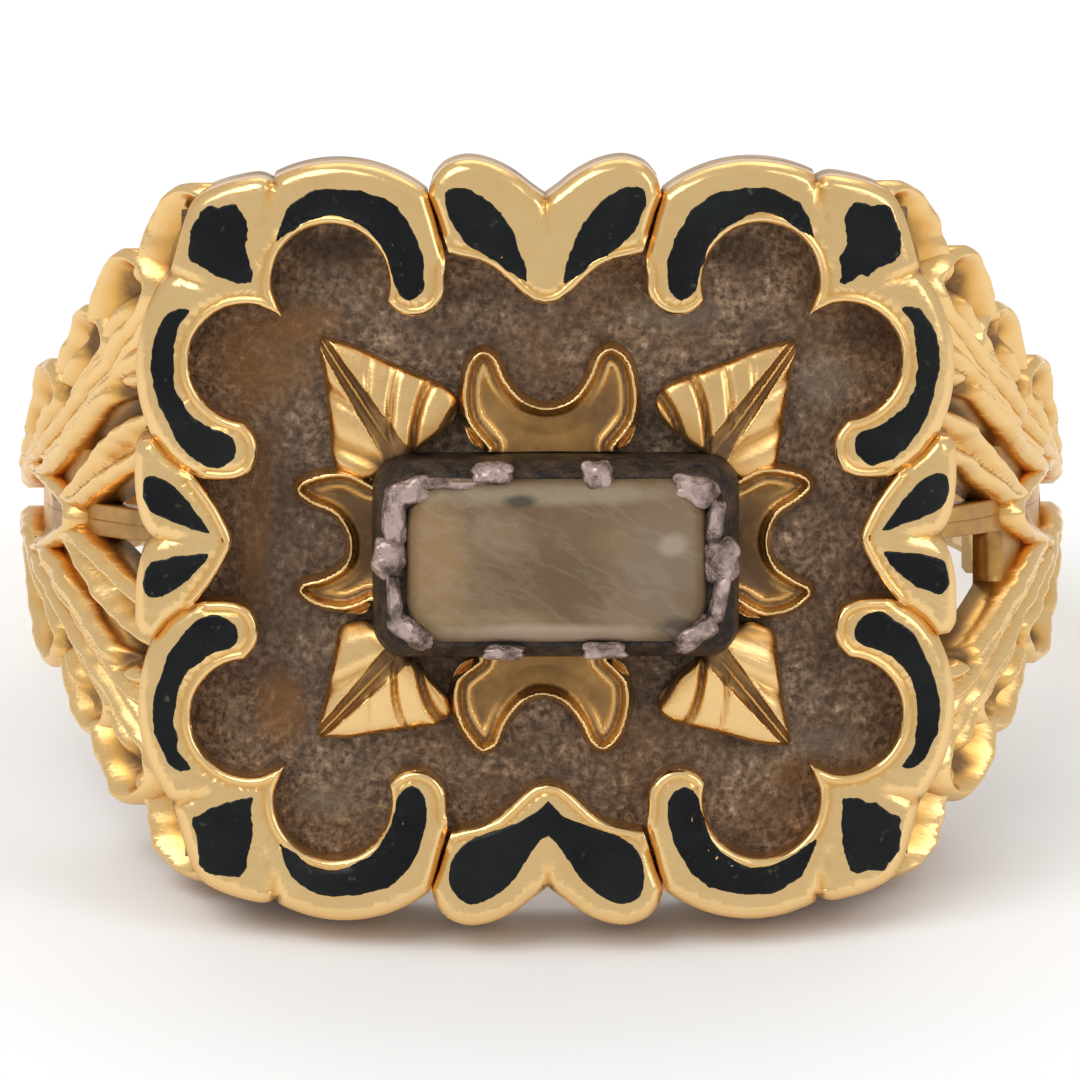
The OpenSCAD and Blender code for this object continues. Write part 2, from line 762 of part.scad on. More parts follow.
ring_body();
ground_plate();
leaf(1, 1);  // leaf_ne
leaf(-1, 1);  // leaf_nw
leaf(1, -1);  // leaf_se
leaf(-1, -1);  // leaf_sw
petal([0, 1], 0, petal_w, petal_l, petal_neck);  // petal_top
petal([0, -1], 180, petal_w, petal_l, petal_neck);  // petal_bottom
petal([-1, 0], 90, side_petal_w, side_petal_l, side_petal_neck);  // petal_left
petal([1, 0], -90, side_petal_w, side_petal_l, side_petal_neck);  // petal_right
collet();
crystal();
enamel(1, 1) top_crescent();  // enamel_top_scroll_right
enamel(-1, 1) top_crescent();  // enamel_top_scroll_left
enamel(1, -1) top_crescent();  // enamel_bottom_scroll_right
enamel(-1, -1) top_crescent();  // enamel_bottom_scroll_left
enamel(1, 1) side_crescent();  // enamel_side_scroll_ne
enamel(-1, 1) side_crescent();  // enamel_side_scroll_nw
enamel(1, -1) side_crescent();  // enamel_side_scroll_se
enamel(-1, -1) side_crescent();  // enamel_side_scroll_sw
enamel(1, 1) fan_cell();  // enamel_fan_ne
enamel(-1, 1) fan_cell();  // enamel_fan_nw
enamel(1, -1) fan_cell();  // enamel_fan_se
enamel(-1, -1) fan_cell();  // enamel_fan_sw
enamel(1, 1) bud_cell();  // enamel_bud_ne
enamel(-1, 1) bud_cell();  // enamel_bud_nw
enamel(1, -1) bud_cell();  // enamel_bud_se
enamel(-1, -1) bud_cell();  // enamel_bud_sw
enamel(1, 1) heart_cell();  // enamel_heart_right
enamel(-1, 1) heart_cell();  // enamel_heart_left
enamel(1, -1) bottom_heart_cell();  // enamel_heart_bottom
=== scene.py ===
# %% [markdown]
# # A gold mourning ring
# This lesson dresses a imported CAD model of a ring: a broad head edged with scrolls of black enamel, a sunk
# matted ground, a rosette of carved leaves and petals round a smoky crystal, and pierced acanthus shoulders.
# The CAD model is the fixed frame. Each visible piece is built over it, in the same place and size.

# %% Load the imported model
import math
import bmesh
import bpy
from mathutils import Matrix, Vector, kdtree, noise


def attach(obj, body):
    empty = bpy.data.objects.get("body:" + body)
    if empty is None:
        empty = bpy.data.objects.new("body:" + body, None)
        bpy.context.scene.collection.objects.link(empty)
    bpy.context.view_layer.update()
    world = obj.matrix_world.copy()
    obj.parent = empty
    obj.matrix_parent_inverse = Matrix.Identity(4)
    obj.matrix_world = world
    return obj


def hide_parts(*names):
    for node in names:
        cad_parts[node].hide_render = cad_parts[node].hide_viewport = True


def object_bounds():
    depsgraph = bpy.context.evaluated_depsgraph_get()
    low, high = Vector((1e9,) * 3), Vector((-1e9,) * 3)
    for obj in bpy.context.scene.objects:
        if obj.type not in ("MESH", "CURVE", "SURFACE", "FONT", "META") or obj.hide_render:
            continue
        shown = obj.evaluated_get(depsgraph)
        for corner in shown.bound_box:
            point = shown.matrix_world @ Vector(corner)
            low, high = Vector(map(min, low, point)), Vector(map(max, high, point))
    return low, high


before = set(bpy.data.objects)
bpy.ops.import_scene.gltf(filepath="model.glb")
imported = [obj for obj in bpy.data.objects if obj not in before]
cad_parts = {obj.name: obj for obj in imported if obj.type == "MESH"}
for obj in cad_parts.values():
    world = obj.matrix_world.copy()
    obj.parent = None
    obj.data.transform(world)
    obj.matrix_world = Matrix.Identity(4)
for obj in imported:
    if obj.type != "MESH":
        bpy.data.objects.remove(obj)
cad_low, cad_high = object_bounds()
print("CAD box in mm:", [round((b - a) * 1000, 2) for a, b in zip(cad_low, cad_high)])

# %% [markdown]
# ## Sizes and the ring's own space
# The ring is drawn in millimetres with the finger along Z and the head towards -Y, which is easy to think in.
# A last step turns it down onto its side and scales it to metres, as the CAD source does.

# %% Sizes shared with the CAD source
MM = 0.001
BORE_R = 9.5
HOOP_H, HOOP_T = 3.2, 1.3
CROWN_R, CROWN_Y = 24.0, 11.2
FRAME_T, SINK, GROUND_T = 2.2, 1.2, 0.55
TOP_LOBE, SIDE_LOBE = Vector((4.48, 5.42)), Vector((6.22, 3.72))
LOBE_R = 1.23
SETTING = Vector((0.2, -0.3))
REST_TILT = math.radians(17.037)
print("finger hole in mm:", 2 * BORE_R)


def lay_down(bm):
    """Scales a drawn mesh to metres and turns it so that the ring lies on its side."""
    bmesh.ops.scale(bm, vec=(MM, MM, MM), verts=bm.verts)
    bmesh.ops.rotate(bm, cent=(0, 0, 0), matrix=Matrix.Rotation(-REST_TILT, 3, "X"), verts=bm.verts)


def onto_head(bm):
    """Wraps a flat relief, drawn in X and Y with its height in Z, round the head's curve."""
    for v in bm.verts:
        x, up, height = v.co
        v.co = (x, CROWN_Y - math.sqrt((CROWN_R + height) ** 2 - x * x), up)


# %% [markdown]
# ## From a mesh to a finished piece
# Every piece goes through the same last steps: its doubles are merged, its faces are turned outwards, it is
# laid down, shaded smooth, given its material and set on the ring's one body.

# %% Helpers that add objects and finish a piece
SAME_PLACE = 0.0005
BEVEL_STEPS, SHARP_FROM = 3, math.radians(38)


def add_object(name, data):
    made = bpy.data.objects.new(name, data)
    bpy.context.scene.collection.objects.link(made)
    return made


def add_mesh(bm, name, material):
    mesh = bpy.data.meshes.new(name)
    bm.to_mesh(mesh)
    bm.free()
    mesh.materials.append(material)
    return add_object(name, mesh)


def finish_piece(bm, name, material, nodes, bevel=0.0):
    """Turns a drawn mesh into a piece that stands for the named nodes of the CAD model."""
    bmesh.ops.remove_doubles(bm, verts=bm.verts, dist=SAME_PLACE)
    bmesh.ops.recalc_face_normals(bm, faces=bm.faces)
    lay_down(bm)
    piece = add_mesh(bm, name, material)
    piece.data.shade_smooth()
    if bevel:
        edge = piece.modifiers.new("rounded edges", "BEVEL")
        edge.width = bevel * MM
        edge.segments = BEVEL_STEPS
        edge.limit_method = "ANGLE"
        edge.angle_limit = SHARP_FROM
        edge.harden_normals = True
    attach(piece, "root")
    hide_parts(*nodes)
    print(name, "has", len(piece.data.polygons), "faces")


# %% [markdown]
# ## Outlines
# Goldwork like this is all arcs. An outline is a list of points from a few arcs, and a soft curve through
# given points where the shape is free. Upper right shapes are turned to the other quarters by signs.

# %% Arcs and soft curves
FINE = 0.12


def between(value, low, high):
    return max(low, min(high, value))


def arc(centre, r, start, end):
    count = max(2, round(abs(math.radians(end - start)) * r / FINE))
    angles = [math.radians(start + (end - start) * i / count) for i in range(count + 1)]
    return [Vector((centre[0] + r * math.cos(a), centre[1] + r * math.sin(a))) for a in angles]


def soft_curve(points, closed=True):
    """A curve through all the points, with no corner at any of them."""
    knots = [Vector(p) for p in points]
    count = len(knots)
    line = []
    for i in range(count if closed else count - 1):
        places = [k % count if closed else between(k, 0, count - 1) for k in range(i - 1, i + 3)]
        a, b, c, d = (knots[k] for k in places)
        parts = max(1, round((c - b).length / FINE))
        for j in range(parts):
            t = j / parts
            line.append(0.5 * ((2 * b) + (c - a) * t + (2 * a - 5 * b + 4 * c - d) * t * t
                               + (3 * b - a - 3 * c + d) * t * t * t))
    if not closed:
        line.append(knots[-1])
    return line


def to_quarter(points, sign_x, sign_y):
    """Points of the upper right quarter in another one."""
    return [Vector((p[0] * sign_x, p[1] * sign_y)) for p in points]


def densely(points, closed, spacing):
    pairs = list(zip(points, points[1:] + points[:1]))
    if not closed:
        pairs = pairs[:-1]
    line = []
    for a, b in pairs:
        parts = max(1, int((b - a).length / spacing))
        line += [a + (b - a) * k / parts for k in range(parts)]
    return line if closed else line + [points[-1]]


SAMPLE_GAP = 0.008


def distance_to(points, closed=True):
    """A rule that gives a point's distance from a line."""
    samples = densely([Vector(p) for p in points], closed, SAMPLE_GAP)
    tree = kdtree.KDTree(len(samples))
    for i, p in enumerate(samples):
        tree.insert((p[0], p[1], 0), i)
    tree.balance()
    return lambda p: max(0.0, tree.find((p[0], p[1], 0))[2] - SAMPLE_GAP / 2)


# %% [markdown]
# ## A relief from an outline
# Chased goldwork is a sheet whose height changes from place to place. The outline is filled, rings of faces
# are inset along its edge so that the rounding there is even, and straight cuts make a net of the middle.
# Each point is then raised by a rule, and the rim is extruded down to the back.

# %% Helpers that fill, ring and cut a flat shape
EDGE_RINGS = (0.02, 0.02, 0.03, 0.04, 0.04, 0.05)
FIRST_CUT = 0.51
CUT_REACH = 1e-5


def fill_loops(bm, loops):
    """Fills the area between the first loop and the others."""
    edges = []
    for loop in loops:
        verts = [bm.verts.new((p[0], p[1], 0)) for p in loop]
        edges += [bm.edges.new((verts[i - 1], verts[i])) for i in range(len(verts))]
    bmesh.ops.triangle_fill(bm, use_beauty=True, edges=edges, normal=(0, 0, 1))


def inset_rings(bm, rings):
    """Insets rings of faces, one inside the other, along the open edge."""
    inner = bm.faces[:]
    for width in rings:
        bmesh.ops.inset_region(bm, faces=inner, use_boundary=True, use_even_offset=False, thickness=width)


def cut_across(bm, spot, normal):
    """Cuts a mesh along a plane and keeps both sides."""
    bmesh.ops.bisect_plane(bm, geom=bm.verts[:] + bm.edges[:] + bm.faces[:], dist=CUT_REACH, plane_co=spot,
                           plane_no=normal)


def cut_net(bm, step):
    """Cuts a flat mesh into a net by even cuts in both directions."""
    for axis, normal in ((0, (1, 0, 0)), (1, (0, 1, 0))):
        low = min(v.co[axis] for v in bm.verts)
        high = max(v.co[axis] for v in bm.verts)
        place = low + step * FIRST_CUT
        while place < high:
            cut_across(bm, [place * n for n in normal], normal)
            place += step


def drop_rim(bm, level):
    """Extrudes the open rim of a surface down to a level and closes the back."""
    rim = [e for e in bm.edges if e.is_boundary]
    made = bmesh.ops.extrude_edge_only(bm, edges=rim)["geom"]
    for v in made:
        if isinstance(v, bmesh.types.BMVert):
            v.co.z = level
    edges = [e for e in made if isinstance(e, bmesh.types.BMEdge)]
    bmesh.ops.triangle_fill(bm, use_beauty=True, edges=edges, normal=(0, 0, -1))


def flat_relief(outline, rise, dirt_and_shade, step, back, rings=EDGE_RINGS, lines=()):
    """A sheet raised by a rule, with a share of dirt and painted shade at each point and extra cuts along
    given lines.
    """
    bm = bmesh.new()
    fill_loops(bm, [outline])
    inset_rings(bm, rings)
    cut_net(bm, step)
    for spot, normal in lines:
        cut_across(bm, (*spot, 0), (*normal, 0))
    layer = bm.verts.layers.float.new("dirt_and_shade")
    for v in bm.verts:
        spot = Vector((v.co.x, v.co.y))
        v.co.z = rise(spot)
        v[layer] = dirt_and_shade(spot)
    drop_rim(bm, back)
    return bm


def turned(flat, sign_x, sign_y):
    """A copy of a flat relief, mirrored into another quarter."""
    bm = flat.copy()
    bmesh.ops.scale(bm, vec=(sign_x, sign_y, 1), verts=bm.verts)
    return bm


# %% Rules for edges and grooves
def round_over(d, r):
    """Depth of a rounded edge at a distance from it."""
    return 0.8 * r * max(0.0, 1 - d / r) ** 2


def bump_at(d, place, width):
    """A soft ridge of height one along a line at a distance."""
    return math.exp(-((d - place) / width) ** 2)


def along_line(p, start, end):
    """Share along a straight line and distance from it."""
    way = end - start
    share = between((p - start).dot(way) / way.length_squared, 0.0, 1.0)
    return share, (p - start - way * share).length


def swell(p, size, seed):
    """Soft noise over a flat place, with finer lumps for a larger size."""
    return noise.noise(Vector((p[0] * size, p[1] * size, seed)))


print("a round edge drops in mm:", round_over(0.0, 0.24))


# %% [markdown]
# ## Materials
# The gold is one physical shader: a metal whose colour deepens to orange-brown where dirt stays and where
# shade is painted into recesses, and whose polish is broken by rubbing. How dark a place is, from dirt and
# painted shade, comes from a value that each relief keeps at its points.
# The shared effects are node groups. Wear puts out a rub mask and a height, the patch group a mask of
# patches, and spot a mask of one soft patch at a place on the head.

# %% Helpers for node trees
def new_material(name):
    material = bpy.data.materials.new(name)
    material.use_nodes = True
    tree = material.node_tree
    tree.nodes.clear()
    out = tree.nodes.new("ShaderNodeOutputMaterial")
    shader = tree.nodes.new("ShaderNodeBsdfPrincipled")
    tree.links.new(shader.outputs["BSDF"], out.inputs["Surface"])
    return material, tree, shader


def feed(tree, source, socket):
    """Links a socket to a source, or sets it to a constant."""
    if isinstance(source, bpy.types.NodeSocket):
        tree.links.new(source, socket)
    elif isinstance(source, tuple):
        socket.default_value = (*source, 1)
    else:
        socket.default_value = source


def node(tree, kind, group=None, **inputs):
    """A new node with its inputs fed, where an underscore stands for a space in an input's name."""
    made = tree.nodes.new("ShaderNode" + kind)
    if group:
        made.node_tree = group
    for key, source in inputs.items():
        feed(tree, source, made.inputs[key.replace("_", " ")])
    return made


def ramp(tree, source, stops):
    made = node(tree, "ValToRGB", Fac=source)
    elements = made.color_ramp.elements
    while len(elements) < len(stops):
        elements.new(0.5)
    for element, (place, value) in zip(elements, stops):
        element.position = place
        element.color = (value, value, value, 1)
    return made.outputs[0]


def mix_colour(tree, factor, first, second):
    made = node(tree, "Mix")
    made.data_type = "RGBA"
    for source, socket in ((factor, made.inputs[0]), (first, made.inputs[6]), (second, made.inputs[7])):
        feed(tree, source, socket)
    return made.outputs[2]


def calc(tree, operation, first, second=0.0, third=0.0):
    made = node(tree, "Math")
    made.operation = operation
    for source, socket in zip((first, second, third), made.inputs):
        feed(tree, source, socket)
    return made.outputs[0]


def lay_over(tree, colour, mask, amount, tone):
    """Covers a colour with a share of a tone where a mask is."""
    return mix_colour(tree, calc(tree, "MULTIPLY", mask, amount), colour, tone)


def new_group(name, inputs, outputs):
    group = bpy.data.node_groups.new(name, "ShaderNodeTree")
    for label, value in inputs.items():
        group.interface.new_socket(label, in_out="INPUT", socket_type="NodeSocketFloat").default_value = value
    for label in outputs:
        group.interface.new_socket(label, in_out="OUTPUT", socket_type="NodeSocketFloat")
    return group, group.nodes.new("NodeGroupInput"), group.nodes.new("NodeGroupOutput")


# %% Group: soft dents and fine scratches of rubbed metal
def make_wear_group():
    sizes = {"Dent size": 900.0, "Scratch size": 2600.0}
    group, source, out = new_group("rubbed metal", sizes, ["Height", "Rub"])
    place = node(group, "TexCoord").outputs["Object"]
    dents = node(group, "TexNoise", Vector=place, Scale=source.outputs["Dent size"], Detail=3.0,
                 Roughness=0.55)
    streaks = node(group, "Mapping", Vector=place)
    streaks.vector_type = "TEXTURE"
    streaks.inputs["Rotation"].default_value = (0.1, 0.5, 0.2)
    streaks.inputs["Scale"].default_value = (14.0, 1.0, 1.0)
    lines = node(group, "TexNoise", Vector=streaks.outputs["Vector"], Scale=source.outputs["Scratch size"],
                 Detail=4.0, Roughness=0.7)
    sharp = ramp(group, lines.outputs["Fac"], [(0.44, 0), (0.5, 1), (0.56, 0)])
    scratch = calc(group, "MULTIPLY", sharp, 0.12)
    group.links.new(calc(group, "SUBTRACT", dents.outputs["Fac"], scratch), out.inputs["Height"])
    group.links.new(calc(group, "MULTIPLY", sharp, dents.outputs["Fac"]), out.inputs["Rub"])
    return group


wear_group = make_wear_group()


# %% Group: patches, for dirt, tarnish, matting and cloud, and for the enamel's painted sheen
def make_patch_group():
    group, source, out = new_group("patch_mask", {"Patch size": 400.0, "Low": 0.4, "High": 0.65}, ["Mask"])
    patches = node(group, "TexNoise", Vector=node(group, "TexCoord").outputs["Object"],
                   Scale=source.outputs["Patch size"], Detail=6.0, Roughness=0.62)
    span = node(group, "MapRange", Value=patches.outputs["Fac"], From_Min=source.outputs["Low"],
                From_Max=source.outputs["High"])
    group.links.new(span.outputs["Result"], out.inputs["Mask"])
    return group


patch_group = make_patch_group()


# %% Group: one soft patch at a place on the head, in millimetres from its middle
def make_spot_group():
    group, source, out = new_group("spot", {"X": 0.0, "Up": 0.0, "Width": 1.0, "Height": 1.0}, ["Mask"])
    place = node(group, "TexCoord").outputs["Object"]
    upright = node(group, "Mapping", Vector=place)
    upright.inputs["Rotation"].default_value = (REST_TILT, 0, 0)
    upright.inputs["Scale"].default_value = (1 / MM, 1 / MM, 1 / MM)
    parts = node(group, "SeparateXYZ", Vector=upright.outputs["Vector"])
    shares = []
    for axis, middle, size in (("X", "X", "Width"), ("Z", "Up", "Height")):
        away = calc(group, "SUBTRACT", parts.outputs[axis], source.outputs[middle])
        shares.append(calc(group, "POWER", calc(group, "DIVIDE", away, source.outputs[size]), 2.0))
    distance = calc(group, "SQRT", calc(group, "ADD", *shares))
    frayed = node(group, "TexNoise", Vector=place, Scale=900.0, Detail=4.0, Roughness=0.6)
    loose = calc(group, "MULTIPLY_ADD", frayed.outputs["Fac"], 0.9, calc(group, "SUBTRACT", distance, 0.45))
    span = node(group, "MapRange", Value=loose, From_Min=1.0, From_Max=0.45)
    group.links.new(span.outputs["Result"], out.inputs["Mask"])
    return group


spot_group = make_spot_group()
print("node groups:", [group.name for group in bpy.data.node_groups])


# %% Helpers that set groups and bumps into a material
def add_patches(tree, size, low, high):
    """A mask of patches, used for dirt, tarnish, matting, the crystal's cloud and the enamel's painted sheen,
    wider where the low limit is lower.
    """
    return node(tree, "Group", patch_group, Patch_size=size, Low=low, High=high).outputs["Mask"]


def add_spots(tree, colour, spots):
    """Lays soft patches over a colour, each from its place, half sizes, share and tone."""
    for x, up, width, height, amount, tone in spots:
        spot = node(tree, "Group", spot_group, X=x, Up=up, Width=width, Height=height)
        colour = lay_over(tree, colour, spot.outputs["Mask"], amount, tone)
    return colour


def add_bump(tree, source, strength, distance, shader):
    height = node(tree, "Bump", Strength=strength, Distance=distance, Height=source)
    tree.links.new(height.outputs["Normal"], shader.inputs["Normal"])


# %% Gold
def make_gold(name, bright, deep, crust, rough_low, rough_high, bump):
    """Three tones of metal: rubbed bright, deepened to orange-brown by dirt and painted shade, and crusted
    where these are thickest.
    """
    material, tree, shader = new_material(name)
    wear = node(tree, "Group", wear_group)
    patch_mask = add_patches(tree, 700.0, 0.3, 0.75)
    # The kept value holds real dirt and painted shade in recesses, and the patches make it uneven.
    kept = node(tree, "Attribute")
    kept.attribute_name = "dirt_and_shade"
    uneven = calc(tree, "MULTIPLY_ADD", patch_mask, 0.5, 0.75)
    dirt_and_shade = calc(tree, "MINIMUM", calc(tree, "MULTIPLY", kept.outputs["Fac"], uneven), 1.0)
    tint = calc(tree, "MAXIMUM", ramp(tree, dirt_and_shade, [(0.0, 0), (0.5, 1)]), calc(tree, "MULTIPLY", patch_mask, 0.25))
    thick = ramp(tree, dirt_and_shade, [(0.5, 0), (1.0, 1)])
    colour = mix_colour(tree, thick, mix_colour(tree, tint, bright, deep), crust)
    tree.links.new(colour, shader.inputs["Base Color"])
    tree.links.new(calc(tree, "MULTIPLY_ADD", thick, -0.45, 1.0), shader.inputs["Metallic"])
    span = node(tree, "MapRange", Value=wear.outputs["Rub"], To_Min=rough_low, To_Max=rough_high)
    tree.links.new(calc(tree, "MULTIPLY_ADD", dirt_and_shade, 0.25, span.outputs["Result"]), shader.inputs["Roughness"])
    add_bump(tree, wear.outputs["Height"], bump, 0.00004, shader)
    return material


gold = make_gold("polished gold", (0.86, 0.595, 0.275), (0.72, 0.40, 0.11), (0.18, 0.09, 0.03),
                 rough_low=0.17, rough_high=0.32, bump=0.14)
carved_gold = make_gold("carved gold", (0.86, 0.59, 0.27), (0.6, 0.33, 0.1), (0.15, 0.078, 0.03),
                        rough_low=0.2, rough_high=0.36, bump=0.22)
print("made", gold.name, "and", carved_gold.name)


# %% Enamel, ground, silver and crystal
def make_enamel():
    material, tree, shader = new_material("black enamel")
    # Painted sheen: this patch mask tints the black towards a faint blue-green, as a reflection would, and
    # also varies the roughness.
    sheen = add_patches(tree, 500.0, 0.4, 0.72)
    specks = add_patches(tree, 3200.0, 0.64, 0.72)
    colour = mix_colour(tree, sheen, (0.002, 0.002, 0.003), (0.007, 0.011, 0.009))
    colour = lay_over(tree, colour, specks, 0.5, (0.12, 0.13, 0.07))
    tree.links.new(colour, shader.inputs["Base Color"])
    span = node(tree, "MapRange", Value=sheen, To_Min=0.16, To_Max=0.42)
    tree.links.new(span.outputs["Result"], shader.inputs["Roughness"])
    shader.inputs["Specular IOR Level"].default_value = 0.22
    wear = node(tree, "Group", wear_group, Dent_size=1500.0)
    add_bump(tree, wear.outputs["Height"], 0.4, 0.00004, shader)
    return material


def make_ground():
    material, tree, shader = new_material("matted ground")
    fine = add_patches(tree, 6500.0, 0.36, 0.64)
    middle = add_patches(tree, 1700.0, 0.42, 0.6)
    broad = add_patches(tree, 620.0, 0.42, 0.62)
    rust = add_patches(tree, 330.0, 0.5, 0.7)
    colour = mix_colour(tree, fine, (0.1, 0.06, 0.036), (0.6, 0.42, 0.28))
    colour = lay_over(tree, colour, middle, 0.6, (0.13, 0.08, 0.05))
    colour = lay_over(tree, colour, broad, 0.4, (0.075, 0.055, 0.04))
    colour = lay_over(tree, colour, rust, 0.45, (0.26, 0.12, 0.04))
    colour = add_spots(tree, colour, GROUND_SPOTS)
    tree.links.new(colour, shader.inputs["Base Color"])
    shader.inputs["Roughness"].default_value = 0.62
    shader.inputs["Metallic"].default_value = 0.25
    add_bump(tree, fine, 0.9, 0.00006, shader)
    return material


def make_silver(name, light, dark, low, high, metallic):
    material, tree, shader = new_material(name)
    patch_mask = add_patches(tree, 2200.0, low, high)
    tree.links.new(mix_colour(tree, patch_mask, light, dark), shader.inputs["Base Color"])
    shader.inputs["Metallic"].default_value = metallic
    shader.inputs["Roughness"].default_value = 0.42
    add_bump(tree, calc(tree, "MULTIPLY", patch_mask, -1.0), 0.9, 0.00008, shader)
    return material


def make_crystal():
    material, tree, shader = new_material("smoky crystal")
    cloud = add_patches(tree, 420.0, 0.35, 0.7)
    colour = mix_colour(tree, cloud, (0.17, 0.108, 0.055), (0.27, 0.185, 0.1))
    # Painted reflections and painted shade, laid on as soft patches.
    colour = add_spots(tree, colour, CRYSTAL_PAINTED_LIGHT)
    wear = node(tree, "Group", wear_group, Dent_size=1200.0, Scratch_size=1500.0)
    colour = lay_over(tree, colour, wear.outputs["Rub"], 0.3, (0.44, 0.36, 0.26))
    tree.links.new(colour, shader.inputs["Base Color"])
    shader.inputs["Roughness"].default_value = 0.42
    shader.inputs["Specular IOR Level"].default_value = 0.2
    shader.inputs["IOR"].default_value = 1.54
    shader.inputs["Transmission Weight"].default_value = 0.12
    shader.inputs["Coat Weight"].default_value = 0.05
    shader.inputs["Coat Roughness"].default_value = 0.25
    add_bump(tree, wear.outputs["Height"], 0.4, 0.00005, shader)
    return material


RUST, SOOT, PALE = (0.33, 0.15, 0.04), (0.035, 0.025, 0.018), (0.3, 0.26, 0.2)
# Place, half sizes, share and tone of each patch
# In the ground's list the first patch, a tall dark band down the left, is painted shade; the others are rust,
# soot and pale patches.
GROUND_SPOTS = [
    (-5.6, 0.2, 1.3, 6.0, 0.5, (0.085, 0.05, 0.032)), (-5.9, 3.7, 1.3, 1.5, 0.5, RUST),
    (-5.6, -3.6, 0.7, 1.0, 0.55, RUST), (5.4, -5.0, 1.0, 0.5, 0.4, RUST), (-4.9, 4.5, 0.9, 0.6, 0.5, RUST),
    (-6.1, 0.6, 0.5, 2.6, 0.4, RUST), (4.0, 6.0, 1.3, 0.5, 0.6, SOOT), (-4.4, 6.1, 1.3, 0.45, 0.6, SOOT),
    (6.8, 4.4, 0.7, 0.8, 0.5, SOOT), (6.0, -4.4, 0.9, 0.4, 0.4, PALE), (-1.0, 5.1, 2.2, 0.35, 0.35, SOOT),
    (5.9, 3.2, 0.8, 0.7, 0.4, PALE), (-4.7, -5.6, 0.8, 0.5, 0.4, PALE), (2.6, 4.7, 1.2, 0.4, 0.4, PALE),
    (5.9, -2.6, 0.5, 0.6, 0.4, SOOT)]
# The crystal's patches are painted reflections and painted shade: pale bands and glints, and darker patches
# over the middle.
CRYSTAL_PAINTED_LIGHT = [
    (2.3, -0.4, 1.0, 1.6, 0.5, (0.24, 0.185, 0.14)), (-2.4, -0.2, 0.9, 1.6, 0.7, (0.36, 0.22, 0.1)),
    (0.1, 1.1, 3.2, 0.3, 0.6, (0.36, 0.29, 0.19)), (-0.55, 0.95, 0.45, 0.19, 0.9, (0.06, 0.05, 0.04)),
    (0.5, -0.6, 1.1, 1.1, 0.55, (0.13, 0.085, 0.045)), (2.7, -1.75, 0.6, 0.32, 0.8, (0.07, 0.055, 0.045)),
    (-1.3, -1.6, 1.9, 0.35, 0.5, (0.36, 0.25, 0.12)), (-1.0, 0.2, 1.0, 0.7, 0.4, (0.35, 0.27, 0.16)),
    (2.6, 0.05, 0.4, 0.3, 0.5, (0.5, 0.42, 0.34)), (0.1, -1.82, 2.7, 0.26, 0.85, (0.5, 0.37, 0.27))]
enamel = make_enamel()
ground_skin = make_ground()
silver = make_silver("rubbed silver", (0.5, 0.38, 0.34), (0.11, 0.075, 0.06), 0.44, 0.66, 0.9)
dark_silver = make_silver("blackened silver", (0.075, 0.046, 0.028), (0.008, 0.006, 0.005), 0.34, 0.62, 0.4)
crystal_skin = make_crystal()
print("materials:", len(bpy.data.materials))


# %% [markdown]
# ## The scroll frame
# The head's edge is soldered up from four corners, each with two C-scrolls and a fan, and from two hearts and
# two buds that stand between them. One corner is modelled and turned to the other three.
# Each part's surface is a rule of distance: it falls round at the outside, keeps a fine bead along the
# window, and dips at the creases that the graver cut.

# %% Outlines of the corner, in the upper right quarter
corner_edge = (
    [Vector(p) for p in ((2.08, 6.0), (2.2, 6.4), (2.32, 6.85), (2.46, 7.3))]
    + arc((4.28, 4.98), 2.95, 126, 63)
    + soft_curve([(5.66, 7.5), (5.95, 7.6), (6.5, 7.5), (6.95, 7.34), (7.25, 7.15), (7.45, 6.85), (7.6, 6.4),
        (7.75, 5.85), (7.84, 5.55)], closed=False)
    + arc((5.43, 3.56), 3.13, 37, -26)
    + [Vector(p) for p in ((8.2, 2.12), (7.9, 1.73), (7.62, 1.5), (7.37, 1.35))])
corner_window = (
    soft_curve([(7.1, 1.28), (6.75, 1.26), (6.45, 1.3), (6.2, 1.43), (6.06, 1.65), (6.02, 1.9), (6.08, 2.2),
        (6.3, 2.47)], closed=False)
    + arc(SIDE_LOBE, LOBE_R, -82, 101) + [Vector((5.5, 4.72))] + arc(TOP_LOBE, LOBE_R, -9, 196)
    + arc((2.75, 5.39), 0.645, -35, -176) + [Vector((2.1, 5.7))])
fan_creases = [(Vector((5.66, 7.55)), Vector((5.95, 6.4))), (Vector((7.86, 5.58)), Vector((6.95, 5.3)))]

top_crescent = soft_curve([(5.65, 6.28), (5.39, 6.97), (4.89, 7.34), (4.39, 7.42), (3.64, 7.34), (3.15, 7.1),
    (2.8, 6.66), (2.54, 6.03), (2.49, 5.53), (2.57, 5.22), (2.83, 5.04), (3.07, 5.16), (3.22, 5.53),
    (3.37, 6.03), (3.62, 6.44), (4.02, 6.69), (4.39, 6.82), (4.89, 6.7), (5.33, 6.45)])
side_crescent = soft_curve([(7.8, 4.82), (8.1, 4.45), (8.25, 3.85), (8.22, 3.3), (8.06, 2.72), (7.8, 2.18),
    (7.48, 1.8), (7.16, 1.58), (6.85, 1.5), (6.58, 1.62), (6.43, 1.87), (6.44, 2.12), (6.62, 2.26),
    (6.94, 2.36), (7.23, 2.56), (7.55, 2.86), (7.71, 3.3), (7.74, 3.8), (7.66, 4.4), (7.42, 4.82)])
fan_cell = soft_curve([(6.1, 5.34), (6.5, 5.42), (7.0, 5.57), (7.42, 5.84), (7.44, 6.2), (7.38, 6.6),
    (7.18, 6.96), (6.8, 7.04), (6.42, 7.04), (6.2, 6.7), (6.15, 6.2), (6.1, 5.8)])
print("corner outline:", len(corner_edge) + len(corner_window), "points")


